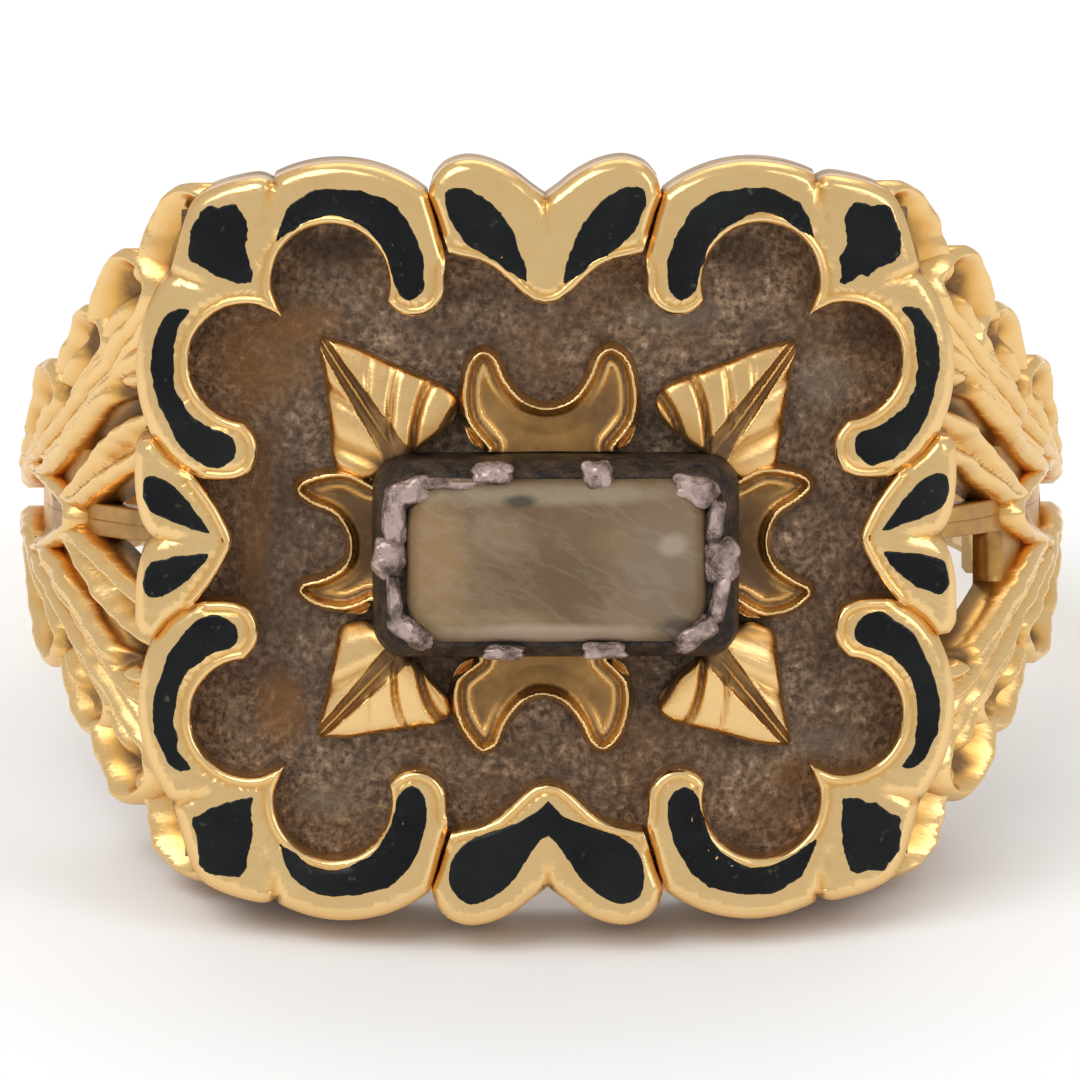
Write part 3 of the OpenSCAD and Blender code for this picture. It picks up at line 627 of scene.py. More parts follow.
# %% Outlines of the hearts and buds, from one half each
heart_window = soft_curve([(0, 5.0), (0.25, 5.06), (0.5, 5.24), (0.75, 5.48), (1.05, 5.74), (1.4, 5.9),
    (1.75, 5.98), (2.0, 6.05)], closed=False)
heart_crease = [Vector(p) for p in ((2.14, 6.45), (2.26, 6.85), (2.42, 7.25))]
heart_outer = soft_curve([(2.33, 7.58), (2.1, 7.85), (1.75, 7.99), (1.4, 7.99), (1.0, 7.87), (0.6, 7.65),
    (0.28, 7.4), (0, 7.2)], closed=False)
bud_window = soft_curve([(6.55, 0), (6.62, 0.2), (6.85, 0.65), (7.1, 1.02), (7.35, 1.33)], closed=False)
bud_crease = [Vector(p) for p in ((7.6, 1.52), (7.9, 1.75), (8.2, 2.1))]
bud_outer = soft_curve([(8.45, 2.06), (8.58, 1.85), (8.6, 1.5), (8.58, 0.95), (8.5, 0.5), (8.38, 0.22),
    (8.2, 0)], closed=False)
heart_drop = soft_curve([(2.12, 7.35), (1.9, 7.45), (1.52, 7.4), (1.09, 7.1), (0.71, 6.6), (0.47, 6.03),
    (0.36, 5.45), (0.65, 5.55), (1.03, 5.87), (1.52, 6.14), (1.88, 6.53), (2.07, 6.97)])
bud_drop = soft_curve([(7.0, 0.14), (7.23, 0.52), (7.64, 1.03), (8.02, 1.3), (8.3, 1.34), (8.43, 1.2),
    (8.43, 0.85), (8.26, 0.57), (7.95, 0.42), (7.5, 0.26)])
low_bud_drop = soft_curve([(7.04, 0.27), (7.5, 0.3), (7.9, 0.36), (8.28, 0.48), (8.43, 0.71), (8.46, 1.02),
    (8.31, 1.23), (8.0, 1.2), (7.61, 0.98), (7.23, 0.62)])
low_half = soft_curve([(0.02, -5.36), (0.35, -5.66), (0.85, -5.9), (1.5, -6.12), (1.95, -6.5), (2.08, -7.0),
    (1.95, -7.4), (1.6, -7.56), (1.2, -7.46), (0.8, -7.15), (0.45, -6.7), (0.2, -6.3),
    (0.02, -6.12)], closed=False)
low_cell = low_half + to_quarter(low_half[-2:0:-1], -1, 1)
print("bottom heart's cell:", len(low_cell), "points")


# %% The gold's surface
ROLL_R, BEAD_R = 0.24, 0.12
GROOVE_IN = 0.19
# Heights between which the frame's walls darken with dirt and painted shade, and how far.
DARK_WALL_FROM, DARK_WALL_TO, DARK_WALL_MOST = -0.25, -1.25, 0.85
WALL_CUTS = (-0.35, -0.8, -1.25)


def gold_surface(outer, window, creases):
    """Rules for height and for dirt and painted shade: the outside rolls over, the window has a bead with a
    groove behind.
    """
    outside = distance_to(outer, False)
    inside = distance_to(window, False)

    def rise(p):
        out, bead = outside(p), inside(p)
        height = -round_over(out, ROLL_R) - round_over(bead, BEAD_R)
        height -= 0.045 * bump_at(bead, GROOVE_IN, 0.05)
        for start, end in creases:
            share, away = along_line(p, start, end)
            height -= 0.13 * (1 - share) * bump_at(away, 0, 0.09)
        return height + 0.014 * swell(p, 2.1, 4)

    # Dirt and painted shade: darker in the groove behind the bead, along the outer edge and down the graver's
    # creases.
    def dirt_and_shade(p):
        amount = 0.45 * bump_at(inside(p), GROOVE_IN, 0.06) + 0.3 * bump_at(outside(p), 0, 0.07)
        for start, end in creases:
            share, away = along_line(p, start, end)
            amount += 0.8 * (1 - share) * bump_at(away, 0, 0.07)
        return min(1.0, amount)

    return rise, dirt_and_shade


def darken_walls(bm, low, high, most=1.0):
    """Darkens a wall with dirt and painted shade, from nothing at the upper height to the most at the lower
    one.
    """
    layer = bm.verts.layers.float.get("dirt_and_shade")
    for v in bm.verts:
        if v.co.z < high:
            v[layer] = max(v[layer], most * min(1.0, (high - v.co.z) / (high - low)))


def frame_part(outline, rise, dirt_and_shade, step):
    """A part of the frame, with its walls cut across so that dirt, painted shade and bends have points to sit
    on.
    """
    flat = flat_relief(outline, rise, dirt_and_shade, step, -FRAME_T)
    for level in WALL_CUTS:
        cut_across(flat, (0, 0, level), (0, 0, 1))
    return flat


def finish_gold(flat, name):
    darken_walls(flat, DARK_WALL_TO, DARK_WALL_FROM, DARK_WALL_MOST)
    onto_head(flat)
    finish_piece(flat, name, gold, ["ring_body"])


# %% One corner, turned to the four quarters
QUARTERS = {"ne": (1, 1), "nw": (-1, 1), "se": (1, -1), "sw": (-1, -1)}
corner_rise, corner_dirt_and_shade = gold_surface(corner_edge, corner_window, fan_creases)
flat_corner = frame_part(corner_edge + corner_window, corner_rise, corner_dirt_and_shade, 0.17)
for place, signs in QUARTERS.items():
    finish_gold(turned(flat_corner, *signs), "corner_" + place)
flat_corner.free()


# %% Hearts and buds
def middle_part(window_half, side, groove, flip):
    """A heart or a bud from half its window and half its outer side, and the signs that mirror them."""
    window = to_quarter(window_half[:0:-1], *flip) + window_half
    outer = side + to_quarter(side[-2::-1], *flip)
    rise, dirt_and_shade = gold_surface(outer, window, [groove])
    return frame_part(window + outer, rise, dirt_and_shade, 0.15), rise


heart_groove = (Vector((0, 7.2)), Vector((0, 6.3)))
bud_groove = (Vector((8.25, 0)), Vector((7.4, 0)))
flat_heart, heart_rise = middle_part(heart_window, heart_crease + heart_outer, heart_groove, (-1, 1))
flat_bud, bud_rise = middle_part(bud_window, bud_crease + bud_outer, bud_groove, (1, -1))
for name, flat, other_side in (("heart", flat_heart, (1, -1)), ("bud", flat_bud, (-1, 1))):
    finish_gold(turned(flat, 1, 1), name + "_first")
    finish_gold(turned(flat, *other_side), name + "_second")
    flat.free()


# %% [markdown]
# ## Worn enamel
# Old enamel has chipped away along its edge, so each black piece is its cell's outline pulled in by an uneven
# amount. It follows the gold's surface, a hair above it, and what it leaves bare is gold.

# %% Enamel
CHIP_GAP = 0.05
ABOVE_GOLD = 0.02


def rough_edge(outline, amount, seed):
    """An outline pulled in unevenly, as enamel chips from its edge."""
    dense = densely(outline, True, CHIP_GAP)
    turn = sum(a[0] * b[1] - a[1] * b[0] for a, b in zip(dense, dense[1:] + dense[:1]))
    result = []
    for i, p in enumerate(dense):
        along = dense[(i + 2) % len(dense)] - dense[i - 2]
        inward = Vector((-along[1], along[0])).normalized() * (1 if turn > 0 else -1)
        bite = abs(swell(p, 1.7, seed)) * 1.7
        grit = swell(p, 8, seed + 5) * 0.4
        result.append(p + inward * amount * max(-0.1, bite + grit))
    return result


def enamel_piece(name, cell, rise, signs, seed, wear=0.055):
    """One black piece in a cell, pulled in by wear, on the surface that rise gives."""
    bm = bmesh.new()
    fill_loops(bm, [rough_edge(cell, wear, seed)])
    inset_rings(bm, (0.025, 0.035))
    cut_net(bm, 0.17)
    for v in bm.verts:
        away = 0.03 if v.is_boundary else 0.0
        v.co.z = rise(Vector((v.co.x, v.co.y))) + ABOVE_GOLD - away
    drop_rim(bm, -0.3)
    bmesh.ops.scale(bm, vec=(*signs, 1), verts=bm.verts)
    onto_head(bm)
    finish_piece(bm, "black_" + name, enamel, ["enamel_" + name])


TOP_NAMES = {"ne": "top_scroll_right", "nw": "top_scroll_left", "se": "bottom_scroll_right",
    "sw": "bottom_scroll_left"}
for place, signs in QUARTERS.items():
    seed = 40 + signs[0] * 7 + signs[1] * 17
    enamel_piece(TOP_NAMES[place], top_crescent, corner_rise, signs, seed)
    enamel_piece("side_scroll_" + place, side_crescent, corner_rise, signs, seed + 1)
    enamel_piece("fan_" + place, fan_cell, corner_rise, signs, seed + 2, wear=0.1)
    drop = bud_drop if signs[1] > 0 else low_bud_drop
    enamel_piece("bud_" + place, drop, bud_rise, signs, seed + 3, wear=0.04)
for side, sign in (("right", 1), ("left", -1)):
    enamel_piece("heart_" + side, heart_drop, heart_rise, (sign, 1), 9 + sign * 5)
enamel_piece("heart_bottom", to_quarter(low_cell, 1, -1), heart_rise, (1, -1), 31, wear=0.045)


# %% [markdown]
# ## Gallery and hoop
# Behind the frame a plain wall carries the ground and is cut back to the finger. It is a pierced plate too,
# whose back follows the finger's circle. The hoop is a profile that is spun round the finger.

# %% Gallery
# Half width, half height and corner radius outside and inside
GALLERY_OUTSIDE, GALLERY_INSIDE = (7.89, 7.09, 1.6), (6.99, 6.19, 0.7)
GALLERY_FRONT_R, GALLERY_BACK_R = 22.2, 10.02
BACK_LEVEL = -10


def rounded_box(half_x, half_y, corner):
    """The outline of a box with round corners."""
    mx, my = half_x - corner, half_y - corner
    middles = ((mx, my), (-mx, my), (-mx, -my), (mx, -my))
    return [p for i, middle in enumerate(middles) for p in arc(middle, corner, 90 * i, 90 * i + 90)[:-1]]


def make_gallery():
    bm = bmesh.new()
    fill_loops(bm, [rounded_box(*GALLERY_OUTSIDE), rounded_box(*GALLERY_INSIDE)])
    cut_net(bm, 0.35)
    drop_rim(bm, BACK_LEVEL)
    dirt_and_shade = bm.verts.layers.float.new("dirt_and_shade")
    # Dirt and painted shade over the whole gallery wall, which stands deep behind the frame, more at the
    # front than at the back.
    for v in bm.verts:
        x, up, height = v.co
        if height < BACK_LEVEL / 2:
            v.co = (x, -math.sqrt(GALLERY_BACK_R ** 2 - x * x), up)
            v[dirt_and_shade] = 0.6
        else:
            v.co = (x, CROWN_Y - math.sqrt(GALLERY_FRONT_R ** 2 - x * x), up)
            v[dirt_and_shade] = 0.9
    finish_piece(bm, "gallery", gold, ["ring_body"], bevel=0.08)


make_gallery()


# %% Hoop
SPIN_STEP = 3


def hoop_part(name, start, end):
    """Spins the band's profile between two angles, counted from the head in degrees."""
    h, r = HOOP_H / 2, BORE_R + HOOP_T
    profile = [(BORE_R + 0.1, -h), (r - 0.42, -h), (r - 0.1, -h + 0.3), (r, -h + 0.75), (r, h - 0.75),
        (r - 0.1, h - 0.3), (r - 0.42, h), (BORE_R + 0.1, h), (BORE_R, h - 0.12), (BORE_R, -h + 0.12)]
    bm = bmesh.new()
    a = math.radians(start)
    face = bm.faces.new([bm.verts.new((p * math.sin(a), -p * math.cos(a), q)) for p, q in profile])
    bmesh.ops.spin(bm, geom=[face], cent=(0, 0, 0), axis=(0, 0, 1), angle=math.radians(end - start),
                   steps=int((end - start) / SPIN_STEP))
    finish_piece(bm, name, gold, ["ring_body"])


hoop_part("hoop_back", start=72, end=288)
hoop_part("hoop_front", start=-50, end=50)


# %% [markdown]
# ## The sunk ground
# The ground was stippled with a punch, so it is a fine grid whose points are moved up and down by noise, and
# the finest grain is left to the material.

# %% Ground
GROUND_HALF_X, GROUND_HALF_Y = 7.6, 6.8


def make_ground_plate():
    bm = bmesh.new()
    bmesh.ops.create_grid(bm, x_segments=200, y_segments=180, size=1)
    for v in bm.verts:
        p = (v.co.x * GROUND_HALF_X, v.co.y * GROUND_HALF_Y)
        coarse = swell(p, 1.3, 3) * 0.04
        fine = swell(p, 5, 9) * 0.035
        pits = -0.05 * max(0.0, swell(p, 3, 21) - 0.25)
        v.co = (*p, -SINK - 0.03 + coarse + fine + pits)
    drop_rim(bm, -SINK - GROUND_T)
    onto_head(bm)
    finish_piece(bm, "matted_ground", ground_skin, ["ground_plate"])


make_ground_plate()


# %% [markdown]
# ## Leaves and petals
# A carved leaf is an outline filled and cut into a fine net. Each point of the net is then raised by a rule:
# high beside the midrib, low at the edge, with grooves where the graver ran. Dirt and painted shade darken
# the grooves.

# %% Leaves
CARVED_BACK = -SINK - 0.02
LEAF_TIPS = {"nw": (-4.7, 4.22), "ne": (5.24, 4.1), "sw": (-4.8, -4.14), "se": (5.1, -4.37)}
INNER_EDGE = [(0.0, 1.05), (0.08, 1.62), (0.22, 1.66), (0.34, 1.46), (0.47, 1.2), (0.62, 0.9), (0.74, 0.68),
    (0.85, 0.46), (0.94, 0.22)]
OUTER_EDGE = [(0.94, 0.12), (0.84, 0.28), (0.67, 0.52), (0.52, 0.76), (0.38, 0.99), (0.24, 1.2),
    (0.12, 1.12), (0.0, 0.7)]


def cut_at(wave, width):
    """Evenly spaced cuts, full at each whole number of the wave."""
    return math.exp(-(abs(wave - round(wave)) * 2 / width) ** 2)


def finish_carved(bm, name, node_name, darkened):
    """Darkens the foot of the walls to a height with dirt and painted shade, and sets the carving on the
    ground.
    """
    darken_walls(bm, -SINK, -SINK + darkened)
    onto_head(bm)
    finish_piece(bm, name, carved_gold, [node_name])


def make_leaf(place):
    """A leaf from its foot at the setting to its tip, with widths given along its length."""
    sx, sy = QUARTERS[place]
    tip = Vector(LEAF_TIPS[place])
    foot = SETTING + Vector((sx * 3.25, sy * 2.0))
    length = (tip - foot).length
    along = (tip - foot) / length
    across = Vector((-along[1], along[0])) * sx * sy
    edge = [foot + along * length * t + across * w for t, w in INNER_EDGE] + [tip]
    edge += [foot + along * length * t - across * w for t, w in OUTER_EDGE]
    outline = soft_curve(edge)
    to_rim = distance_to(outline)
    shade = 0.16 if place in ("ne", "nw") else 0.06

    def flute(p, t, s):
        """Depth of the veins: bent cuts on the inner half, soft folds on the outer one."""
        if s > 0:
            wave = (p[0] * sx * 0.97 + p[1] * sy * 0.22 + 0.3 * (s - 0.8) ** 2) / 0.62 - 0.15
            return cut_at(wave, 0.27) * min(1, s / 0.35) * max(0.0, 1 - 1.3 * t)
        wave = (p[1] * sy * 0.85 - p[0] * sx * 0.4 + 0.25 * (s + 0.5) ** 2) / 0.8
        return 0.5 * cut_at(wave, 0.4) * min(1, -s / 0.35) * (1 - 0.6 * t)

    def channel(t, s):
        """The midrib's channel, wider towards the foot, and the fine line in it."""
        width = 0.11 + 0.2 * max(0.0, 1 - t)
        hollow = max(0.0, 1 - (abs(s) / width) ** 4)
        return hollow, hollow * bump_at(abs(s), 0, 0.035) * min(1.0, 1.7 * t)

    def parts(p):
        """Share along the leaf, distance across it and distance from its rim."""
        away = p - foot
        return away.dot(along) / length, away.dot(across), to_rim(p)

    def rise(p):
        t, s, rim = parts(p)
        hollow, line = channel(t, s)
        height = 0.86 - 0.36 * t - (0.2 * s if s > 0 else -0.3 * s)
        height += 0.14 * line - 0.16 * hollow - 0.25 * flute(p, t, s)
        height *= 0.7 + 0.3 * (1 - math.exp(-rim / 0.06))
        return -SINK + max(0.1, height)

    # Dirt and painted shade: the midrib's channel, the cuts and the foot by the setting darken, and the upper
    # leaves get more painted shade than the lower ones.
    def dirt_and_shade(p):
        t, s, rim = parts(p)
        hollow, line = channel(t, s)
        amount = 0.95 * hollow * (1 - 0.8 * line) + 1.4 * max(0.0, flute(p, t, s) - 0.15) + shade
        amount += 0.12 * bump_at(rim, 0, 0.05) + 0.45 * max(0.0, 0.18 - t) / 0.18
        return min(1.0, amount)

    lines = [(foot + across * (step * 0.04), across) for step in range(-8, 9)]
    bm = flat_relief(outline, rise, dirt_and_shade, 0.06, CARVED_BACK, (0.02, 0.03, 0.04), lines)
    finish_carved(bm, "carved_leaf_" + place, "leaf_" + place, darkened=0.16)


for place in QUARTERS:
    make_leaf(place)


# %% Petals
PETALS = {
    "top": [(-1.3, 1.9), (-1.72, 2.45), (-1.82, 3.1), (-1.7, 3.75), (-1.35, 4.08), (-0.98, 3.9),
        (-0.75, 3.4), (-0.4, 3.02), (0.05, 2.9), (0.5, 3.05), (0.8, 3.45), (1.02, 3.95), (1.4, 4.14),
        (1.82, 3.8), (1.98, 3.1), (1.9, 2.45), (1.5, 1.9), (0.1, 1.85)],
    "bottom": [(-1.5, -2.45), (-1.98, -2.9), (-2.0, -3.6), (-1.72, -4.2), (-1.38, -4.5), (-1.0, -4.35),
        (-0.78, -3.85), (-0.45, -3.45), (-0.1, -3.32), (0.3, -3.45), (0.62, -3.85), (0.85, -4.3),
        (1.22, -4.48), (1.6, -4.15), (1.8, -3.5), (1.75, -2.9), (1.35, -2.45), (0, -2.4)],
    "left": [(-3.6, 1.25), (-4.15, 1.5), (-4.75, 1.45), (-5.2, 1.25), (-5.28, 0.95), (-4.95, 0.68),
        (-4.45, 0.45), (-4.2, 0.0), (-4.28, -0.45), (-4.7, -0.72), (-5.15, -0.85), (-5.25, -1.15),
        (-4.85, -1.45), (-4.2, -1.55), (-3.65, -1.35), (-3.6, 0)],
    "right": [(3.95, 1.3), (4.5, 1.55), (5.1, 1.5), (5.55, 1.3), (5.62, 1.0), (5.35, 0.72), (4.9, 0.42),
        (4.72, -0.05), (4.85, -0.5), (5.2, -0.78), (5.58, -1.0), (5.6, -1.28), (5.15, -1.62), (4.5, -1.7),
        (3.95, -1.4), (3.92, 0)],
}
# The middle of the notch between each petal's horns
NOTCHES = {"top": (0.05, 3.2), "bottom": (-0.1, -3.6), "left": (-4.5, 0), "right": (5.0, -0.05)}


def make_petal(side):
    """A dished petal, its rim raised on all sides but its foot, with a second line in its horns."""
    to_rim = distance_to(soft_curve(PETALS[side][:-1], closed=False), False)
    notch = Vector(NOTCHES[side])
    floor_dirt_and_shade = 0.85 if side in ("top", "bottom") else 1.0

    def horn(p):
        """One in the horns, nothing beside the notch."""
        return between(((p - notch).length - 0.85) / 0.4, 0.0, 1.0)

    def line(p, rim):
        return bump_at(rim, 0.4, 0.06) * horn(p)

    def rise(p):
        rim = to_rim(p)
        crest = bump_at(rim, 0.13, 0.09)
        return (-SINK + 0.36 - 0.14 * min(1, rim / 0.7) + 0.26 * crest + 0.08 * line(p, rim)
                - round_over(rim, 0.12))

    # Dirt and painted shade: darker in the dip inside the crest, at the very edge and over the dished floor.
    def dirt_and_shade(p):
        rim = to_rim(p)
        amount = 0.95 * bump_at(rim, 0.29, 0.06) * (0.4 + 0.6 * horn(p)) + 0.5 * bump_at(rim, 0, 0.04)
        floor = between((rim - 0.26) / 0.12, 0.0, 1.0) * (1 - 0.85 * line(p, rim))
        return min(1.0, amount + floor_dirt_and_shade * floor)

    rings = (0.02, 0.03, 0.04, 0.04, 0.05, 0.05)
    bm = flat_relief(soft_curve(PETALS[side]), rise, dirt_and_shade, 0.055, CARVED_BACK, rings)
    finish_carved(bm, "carved_petal_" + side, "petal_" + side, darkened=0.3)


for side in PETALS:
    make_petal(side)


# %% [markdown]
# ## The setting
# The crystal sits in a blackened silver box with claws rubbed over its edge. The box is a rounded outline
# that is extruded and drawn in, and the crystal a rounded block whose top edge is bevelled softly.

# %% Collet, claws and crystal
COLLET_OUT, CLAW_OUT = 11.63, 13.2
# Distance out and growth at each step of the two blocks
COLLET_STEPS = [(COLLET_OUT + out, grow) for out, grow in ((0, 0), (0.7, -0.04), (1.2, -0.1), (1.5, -0.22))]
CRYSTAL_STEPS = [
    (12.4, -0.1), (13.0, 0), (13.2, -0.03), (13.33, -0.1), (13.41, -0.22), (13.45, -0.4), (13.46, -0.6)]


def make_block(name, half_x, half_y, corner, levels, material, nodes, bevel=0.0):
    """A rounded block: one outline extruded through levels of distance out and growth."""
    bm = bmesh.new()
    fill_loops(bm, [rounded_box(half_x, half_y, corner)])
    bmesh.ops.dissolve_limit(bm, angle_limit=0.01, verts=bm.verts, edges=bm.edges)
    top = bm.faces[:]
    for v in bm.verts:
        v.co.z = levels[0][0]
    for out, grow in levels[1:]:
        made = bmesh.ops.extrude_face_region(bm, geom=top)["geom"]
        verts = [v for v in made if isinstance(v, bmesh.types.BMVert)]
        top = [f for f in made if isinstance(f, bmesh.types.BMFace)]
        for v in verts:
            v.co = (v.co.x * (half_x + grow) / half_x, v.co.y * (half_y + grow) / half_y, out)
    for v in bm.verts:
        x, up, out = v.co
        v.co = (x + SETTING[0], -out, up + SETTING[1])
    finish_piece(bm, name, material, nodes, bevel)


make_block("collet_box", 3.84, 2.14, 0.7, COLLET_STEPS, dark_silver, ["collet"], bevel=0.08)
make_block("smoky_crystal", 3.14, 1.72, 0.9, CRYSTAL_STEPS, crystal_skin, ["crystal"])

# Place, half sizes and turn of each claw and of the rubbed strips between them
CLAWS = [(-1.29, 1.81, 0.4, 0.22, 0), (0.85, 1.77, 0.31, 0.28, 0), (2.87, 1.44, 0.46, 0.3, -15),
    (3.3, 0.81, 0.17, 0.4, -8), (3.43, 0.01, 0.34, 0.42, 0), (3.38, -0.8, 0.16, 0.5, -12),
    (2.9, -1.53, 0.46, 0.22, 35), (0.98, -1.88, 0.41, 0.17, 0), (-1.11, -1.92, 0.38, 0.14, 0),
    (-3.03, -1.47, 0.48, 0.22, -32), (-3.38, -0.81, 0.14, 0.46, 4), (-3.47, 0.08, 0.31, 0.38, 0),
    (-3.37, 0.85, 0.23, 0.55, 0), (-3.06, 1.43, 0.44, 0.27, 15), (-2.18, 1.6, 0.6, 0.11, -2)]


def make_claw(index, x, y, half_x, half_y, turn):
    """A rubbed lump: a pitted ball, pressed flat and turned."""
    bm = bmesh.new()
    bmesh.ops.create_icosphere(bm, subdivisions=4, radius=1)
    for v in bm.verts:
        rough = 1 + 0.22 * noise.noise(v.co * 1.6 + Vector((index * 3, 0, 0)))
        pitted = 0.06 * noise.noise(v.co * 5 + Vector((0, index, 0)))
        square = 1 + 0.6 * abs(v.co.x * v.co.y)
        v.co = Vector((v.co.x * half_x, v.co.y * half_y, v.co.z * 0.22)) * (rough + pitted) * square
    bmesh.ops.rotate(bm, cent=(0, 0, 0), matrix=Matrix.Rotation(math.radians(turn), 3, "Z"), verts=bm.verts)
    for v in bm.verts:
        px, py, h = v.co
        v.co = (px + x + SETTING[0], -(CLAW_OUT + h), py + y + SETTING[1])
    finish_piece(bm, f"claw_{index}", silver, ["collet"])


for index, claw in enumerate(CLAWS):
    make_claw(index, *claw)


# %% [markdown]
# ## Acanthus shoulders
# Each shoulder is a thin pierced shell with leaves that fan out from a stem at the hoop to lobed tips behind
# the head. Each leaf has a thick round edge and a hollow middle. Uneven folds run over it, and drilled eyes
# part it from its neighbours. The leaves are drawn in side view, with the distance out and the height, then
# wrapped on a cylinder.

# %% Shoulders
SHELL_SHIFT, SHELL_R = 1.85, 10.95
LEAF_BACK, WEB_BACK = -0.7, -0.75


def finish_shoulder(bm, name, sign):
    """Wraps a flat relief round the shoulder on one side."""
    for v in bm.verts:
        out, up, height = v.co
        r = SHELL_R + height
        v.co = (sign * math.sqrt(max(0.01, r * r - (out - SHELL_SHIFT) ** 2)), -out, up)
    finish_piece(bm, name, gold, ["ring_body"])


# Each leaf's lift above the shell, and its outline in distance out and height
ACANTHUS = [
    (0.06, [(4.4, 1.4), (6.2, 2.6), (7.6, 4.0), (8.6, 5.4), (9.0, 6.5), (9.5, 7.2), (10.15, 7.35),
        (10.6, 6.8), (10.5, 6.0), (9.9, 5.2), (9.2, 4.3), (8.1, 3.1), (6.4, 1.8), (4.8, 1.0)]),
    (0.16, [(3.4, 1.2), (5.0, 2.1), (6.4, 3.2), (7.3, 4.4), (7.75, 5.3), (8.3, 5.85), (8.95, 5.8),
        (9.35, 5.25), (9.2, 4.6), (8.6, 4.0), (7.6, 3.0), (6.0, 1.9), (4.2, 1.0)]),
    (0.08, [(2.4, 0.9), (4.0, 1.7), (5.3, 2.7), (6.0, 3.6), (6.5, 4.35), (7.2, 4.6), (7.85, 4.25),
        (7.95, 3.6), (7.3, 3.0), (6.2, 2.2), (4.8, 1.3), (3.0, 0.6)]),
    (0.2, [(1.0, 0.4), (2.2, 1.0), (3.4, 1.8), (4.1, 2.5), (4.7, 3.15), (5.4, 3.3), (6.0, 2.95),
        (6.05, 2.4), (5.4, 1.9), (4.4, 1.2), (3.0, 0.6), (1.6, 0.2)]),
    (0.14, [(3.6, 0.7), (5.0, 1.2), (6.4, 1.95), (7.7, 3.0), (8.7, 3.75), (9.4, 3.8), (9.75, 3.35),
        (9.4, 2.95), (8.8, 3.0), (7.9, 2.5), (6.5, 1.5), (5.0, 0.75)])]
STEM = (0.12, [(-3.3, 0.3), (-2.6, 0.8), (0, 1.25), (2.4, 1.2), (4.6, 0.9), (6.3, 0.35), (6.3, -0.35),
    (4.6, -0.9), (2.4, -1.2), (0, -1.25), (-2.6, -0.8), (-3.3, -0.3)])
# A leaf that fills most of the opening beside the bud, but not at the lower right
BUD_LEAF = (0.1, [(5.6, 0.35), (6.6, 0.95), (7.6, 1.75), (8.6, 2.35), (9.4, 2.6), (9.95, 2.4), (9.95, 1.9),
    (9.3, 1.55), (8.2, 1.05), (7.2, 0.5), (6.4, 0.2)])
# Place and radius of each drilled eye, the same above and below
EYES = [(9.75, 6.3, 0.3), (8.5, 5.0, 0.3), (7.15, 3.75, 0.26), (5.35, 2.6, 0.24), (8.3, 2.85, 0.2),
    (4.2, 1.75, 0.2), (6.2, 2.65, 0.2), (7.4, 4.05, 0.16)]
# The upper half of the shell behind the leaves
WEB = [(-3.4, 0), (-3.4, 1.5), (0, 2.1), (5.7, 1.9), (10.0, 5.6), (10.2, 3.0), (9.3, 3.0), (8.8, 3.1),
    (7.9, 2.6), (6.4, 1.5), (6.4, 0.35), (9.3, 0.3), (10.1, 0.3), (10.1, 0)]


def make_acanthus(name, sign, side, lift, points):
    """A leaf or the stem, on one side of the ring and in its upper or lower half."""
    outline = soft_curve(to_quarter(points, 1, side))
    to_rim = distance_to(outline)
    seed = sign * 7.0

    def hollow(rim):
        return 1 - math.exp(-(max(0.0, rim - 0.15) / 0.26) ** 2)

    def eye(p):
        """Share of the drilled eyes, the hollows that part the leaves, where painted shade darkens the
        colour.
        """
        shares = (math.exp(-((p[0] - x) ** 2 + (abs(p[1]) - y) ** 2) / r ** 2) for x, y, r in EYES)
        return min(1.0, sum(shares))

    def rise(p):
        rim = to_rim(p)
        waves = 0.09 * swell(p, 1.1, seed) + 0.05 * swell(p, 2.6, seed)
        return lift + 0.09 + waves - 1.1 * round_over(rim, 0.2) - 0.44 * hollow(rim) - 0.3 * eye(p)

    # Dirt and painted shade: darker in the hollow middle, at the edge and in the drilled eyes.
    def dirt_and_shade(p):
        rim = to_rim(p)
        amount = hollow(rim) * (0.8 + 0.8 * swell(p, 1.9, seed)) + 0.3 * bump_at(rim, 0, 0.07)
        return between(amount + 1.2 * eye(p), 0.0, 1.0)

    bm = flat_relief(outline, rise, dirt_and_shade, 0.08, LEAF_BACK, (0.03, 0.04, 0.05, 0.06))
    darken_walls(bm, -0.5, 0.0)
    finish_shoulder(bm, name, sign)


def make_web(name, sign, side):
    """Half of the thin shell, its colour darker towards the head."""
    def rise(p):
        return -0.2 + 0.03 * swell(p, 1, sign * 3.0)

    def dirt_and_shade(p):
        return between(p[0] * 0.16 + 0.1, 0.0, 0.8)

    bm = flat_relief(to_quarter(WEB, 1, side), rise, dirt_and_shade, 0.3, WEB_BACK, (0.05,))
    finish_shoulder(bm, name, sign)


for sign, hand in ((1, "right"), (-1, "left")):
    make_acanthus("stem_" + hand, sign, 1, *STEM)
    for side, level in ((1, "upper"), (-1, "lower")):
        make_web(f"web_{hand}_{level}", sign, side)
        for index, (lift, points) in enumerate(ACANTHUS + [BUD_LEAF] * (sign < 0 or side > 0)):
            make_acanthus(f"acanthus_{hand}_{level}_{index}", sign, side, lift, points)


# %% [markdown]
# ## Floor, light and camera
# A product photograph is lit by large soft panels in a white tent, which polished gold shows as broad pale
# bands. The floor is plain and pale, and a long lens looks at the head from a little above.

# %% Stage
FLOOR_HALF = 1.5
LIT_SPOT = Vector((0, -0.01, 0.004))
TENT_LIGHT = 0.72


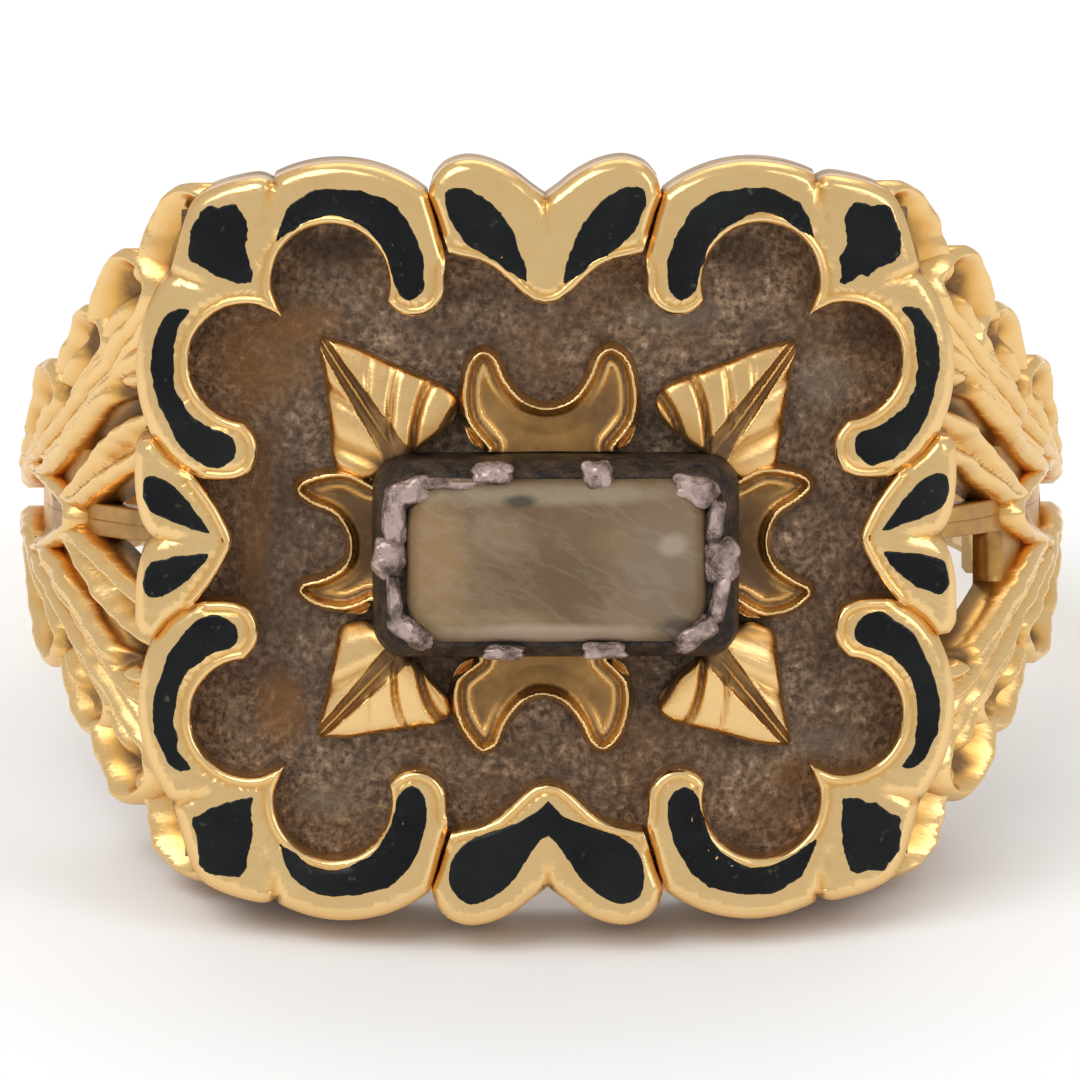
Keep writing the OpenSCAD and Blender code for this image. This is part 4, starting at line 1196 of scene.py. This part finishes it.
def make_floor():
    bm = bmesh.new()
    bmesh.ops.create_grid(bm, x_segments=1, y_segments=1, size=FLOOR_HALF)
    bmesh.ops.translate(bm, vec=(0, 0, cad_low.z), verts=bm.verts)
    material, tree, shader = new_material("pale floor")
    shader.inputs["Base Color"].default_value = (0.9, 0.9, 0.9, 1)
    shader.inputs["Roughness"].default_value = 0.6
    floor = add_mesh(bm, "floor", material)


def add_panel(name, place, size, power):
    light = bpy.data.lights.new(name, "AREA")
    light.shape = "RECTANGLE"
    light.size, light.size_y = size
    light.energy = power
    lamp = add_object(name, light)
    lamp.location = place
    lamp.rotation_euler = (LIT_SPOT - Vector(place)).to_track_quat("-Z", "Y").to_euler()


make_floor()
add_panel("key panel", (-0.14, -0.1, 0.24), (0.2, 0.2), 0.32)
add_panel("right panel", (0.22, -0.12, 0.16), (0.12, 0.2), 0.14)
add_panel("back panel", (0.02, 0.16, 0.22), (0.26, 0.12), 0.16)
world = bpy.data.worlds.new("studio")
world.use_nodes = True
tent = world.node_tree.nodes["Background"]
tent.inputs[0].default_value = (1, 1, 1, 1)
tent.inputs[1].default_value = TENT_LIGHT
bpy.context.scene.world = world
bpy.context.scene.view_settings.view_transform = "Standard"
print("lights:", [lamp.name for lamp in bpy.data.lights])

# %% Camera
SENSOR = 36
VIEW_WIDTH = 0.02246
TARGET_LEFT, TARGET_OUT, TARGET_UP = -0.14, 12.8, 0.1
camera_data = bpy.data.cameras.new("camera")
camera = add_object("camera", camera_data)
distance = 0.28
target = Vector((TARGET_LEFT * MM, -TARGET_OUT * math.cos(REST_TILT) * MM,
                 (TARGET_UP + TARGET_OUT * math.sin(REST_TILT)) * MM))
azimuth, elevation = math.radians(-0.6), math.radians(22.5)
back = Vector((math.sin(azimuth) * math.cos(elevation), -math.cos(azimuth) * math.cos(elevation),
               math.sin(elevation)))
camera.location = target + back * distance
camera.rotation_mode = "QUATERNION"
camera.rotation_quaternion = (-back).to_track_quat("-Z", "Y")
camera_data.lens = SENSOR * distance / VIEW_WIDTH
camera_data.clip_start, camera_data.clip_end = 0.01, 10
bpy.context.scene.camera = camera
print("lens in mm:", round(camera_data.lens))
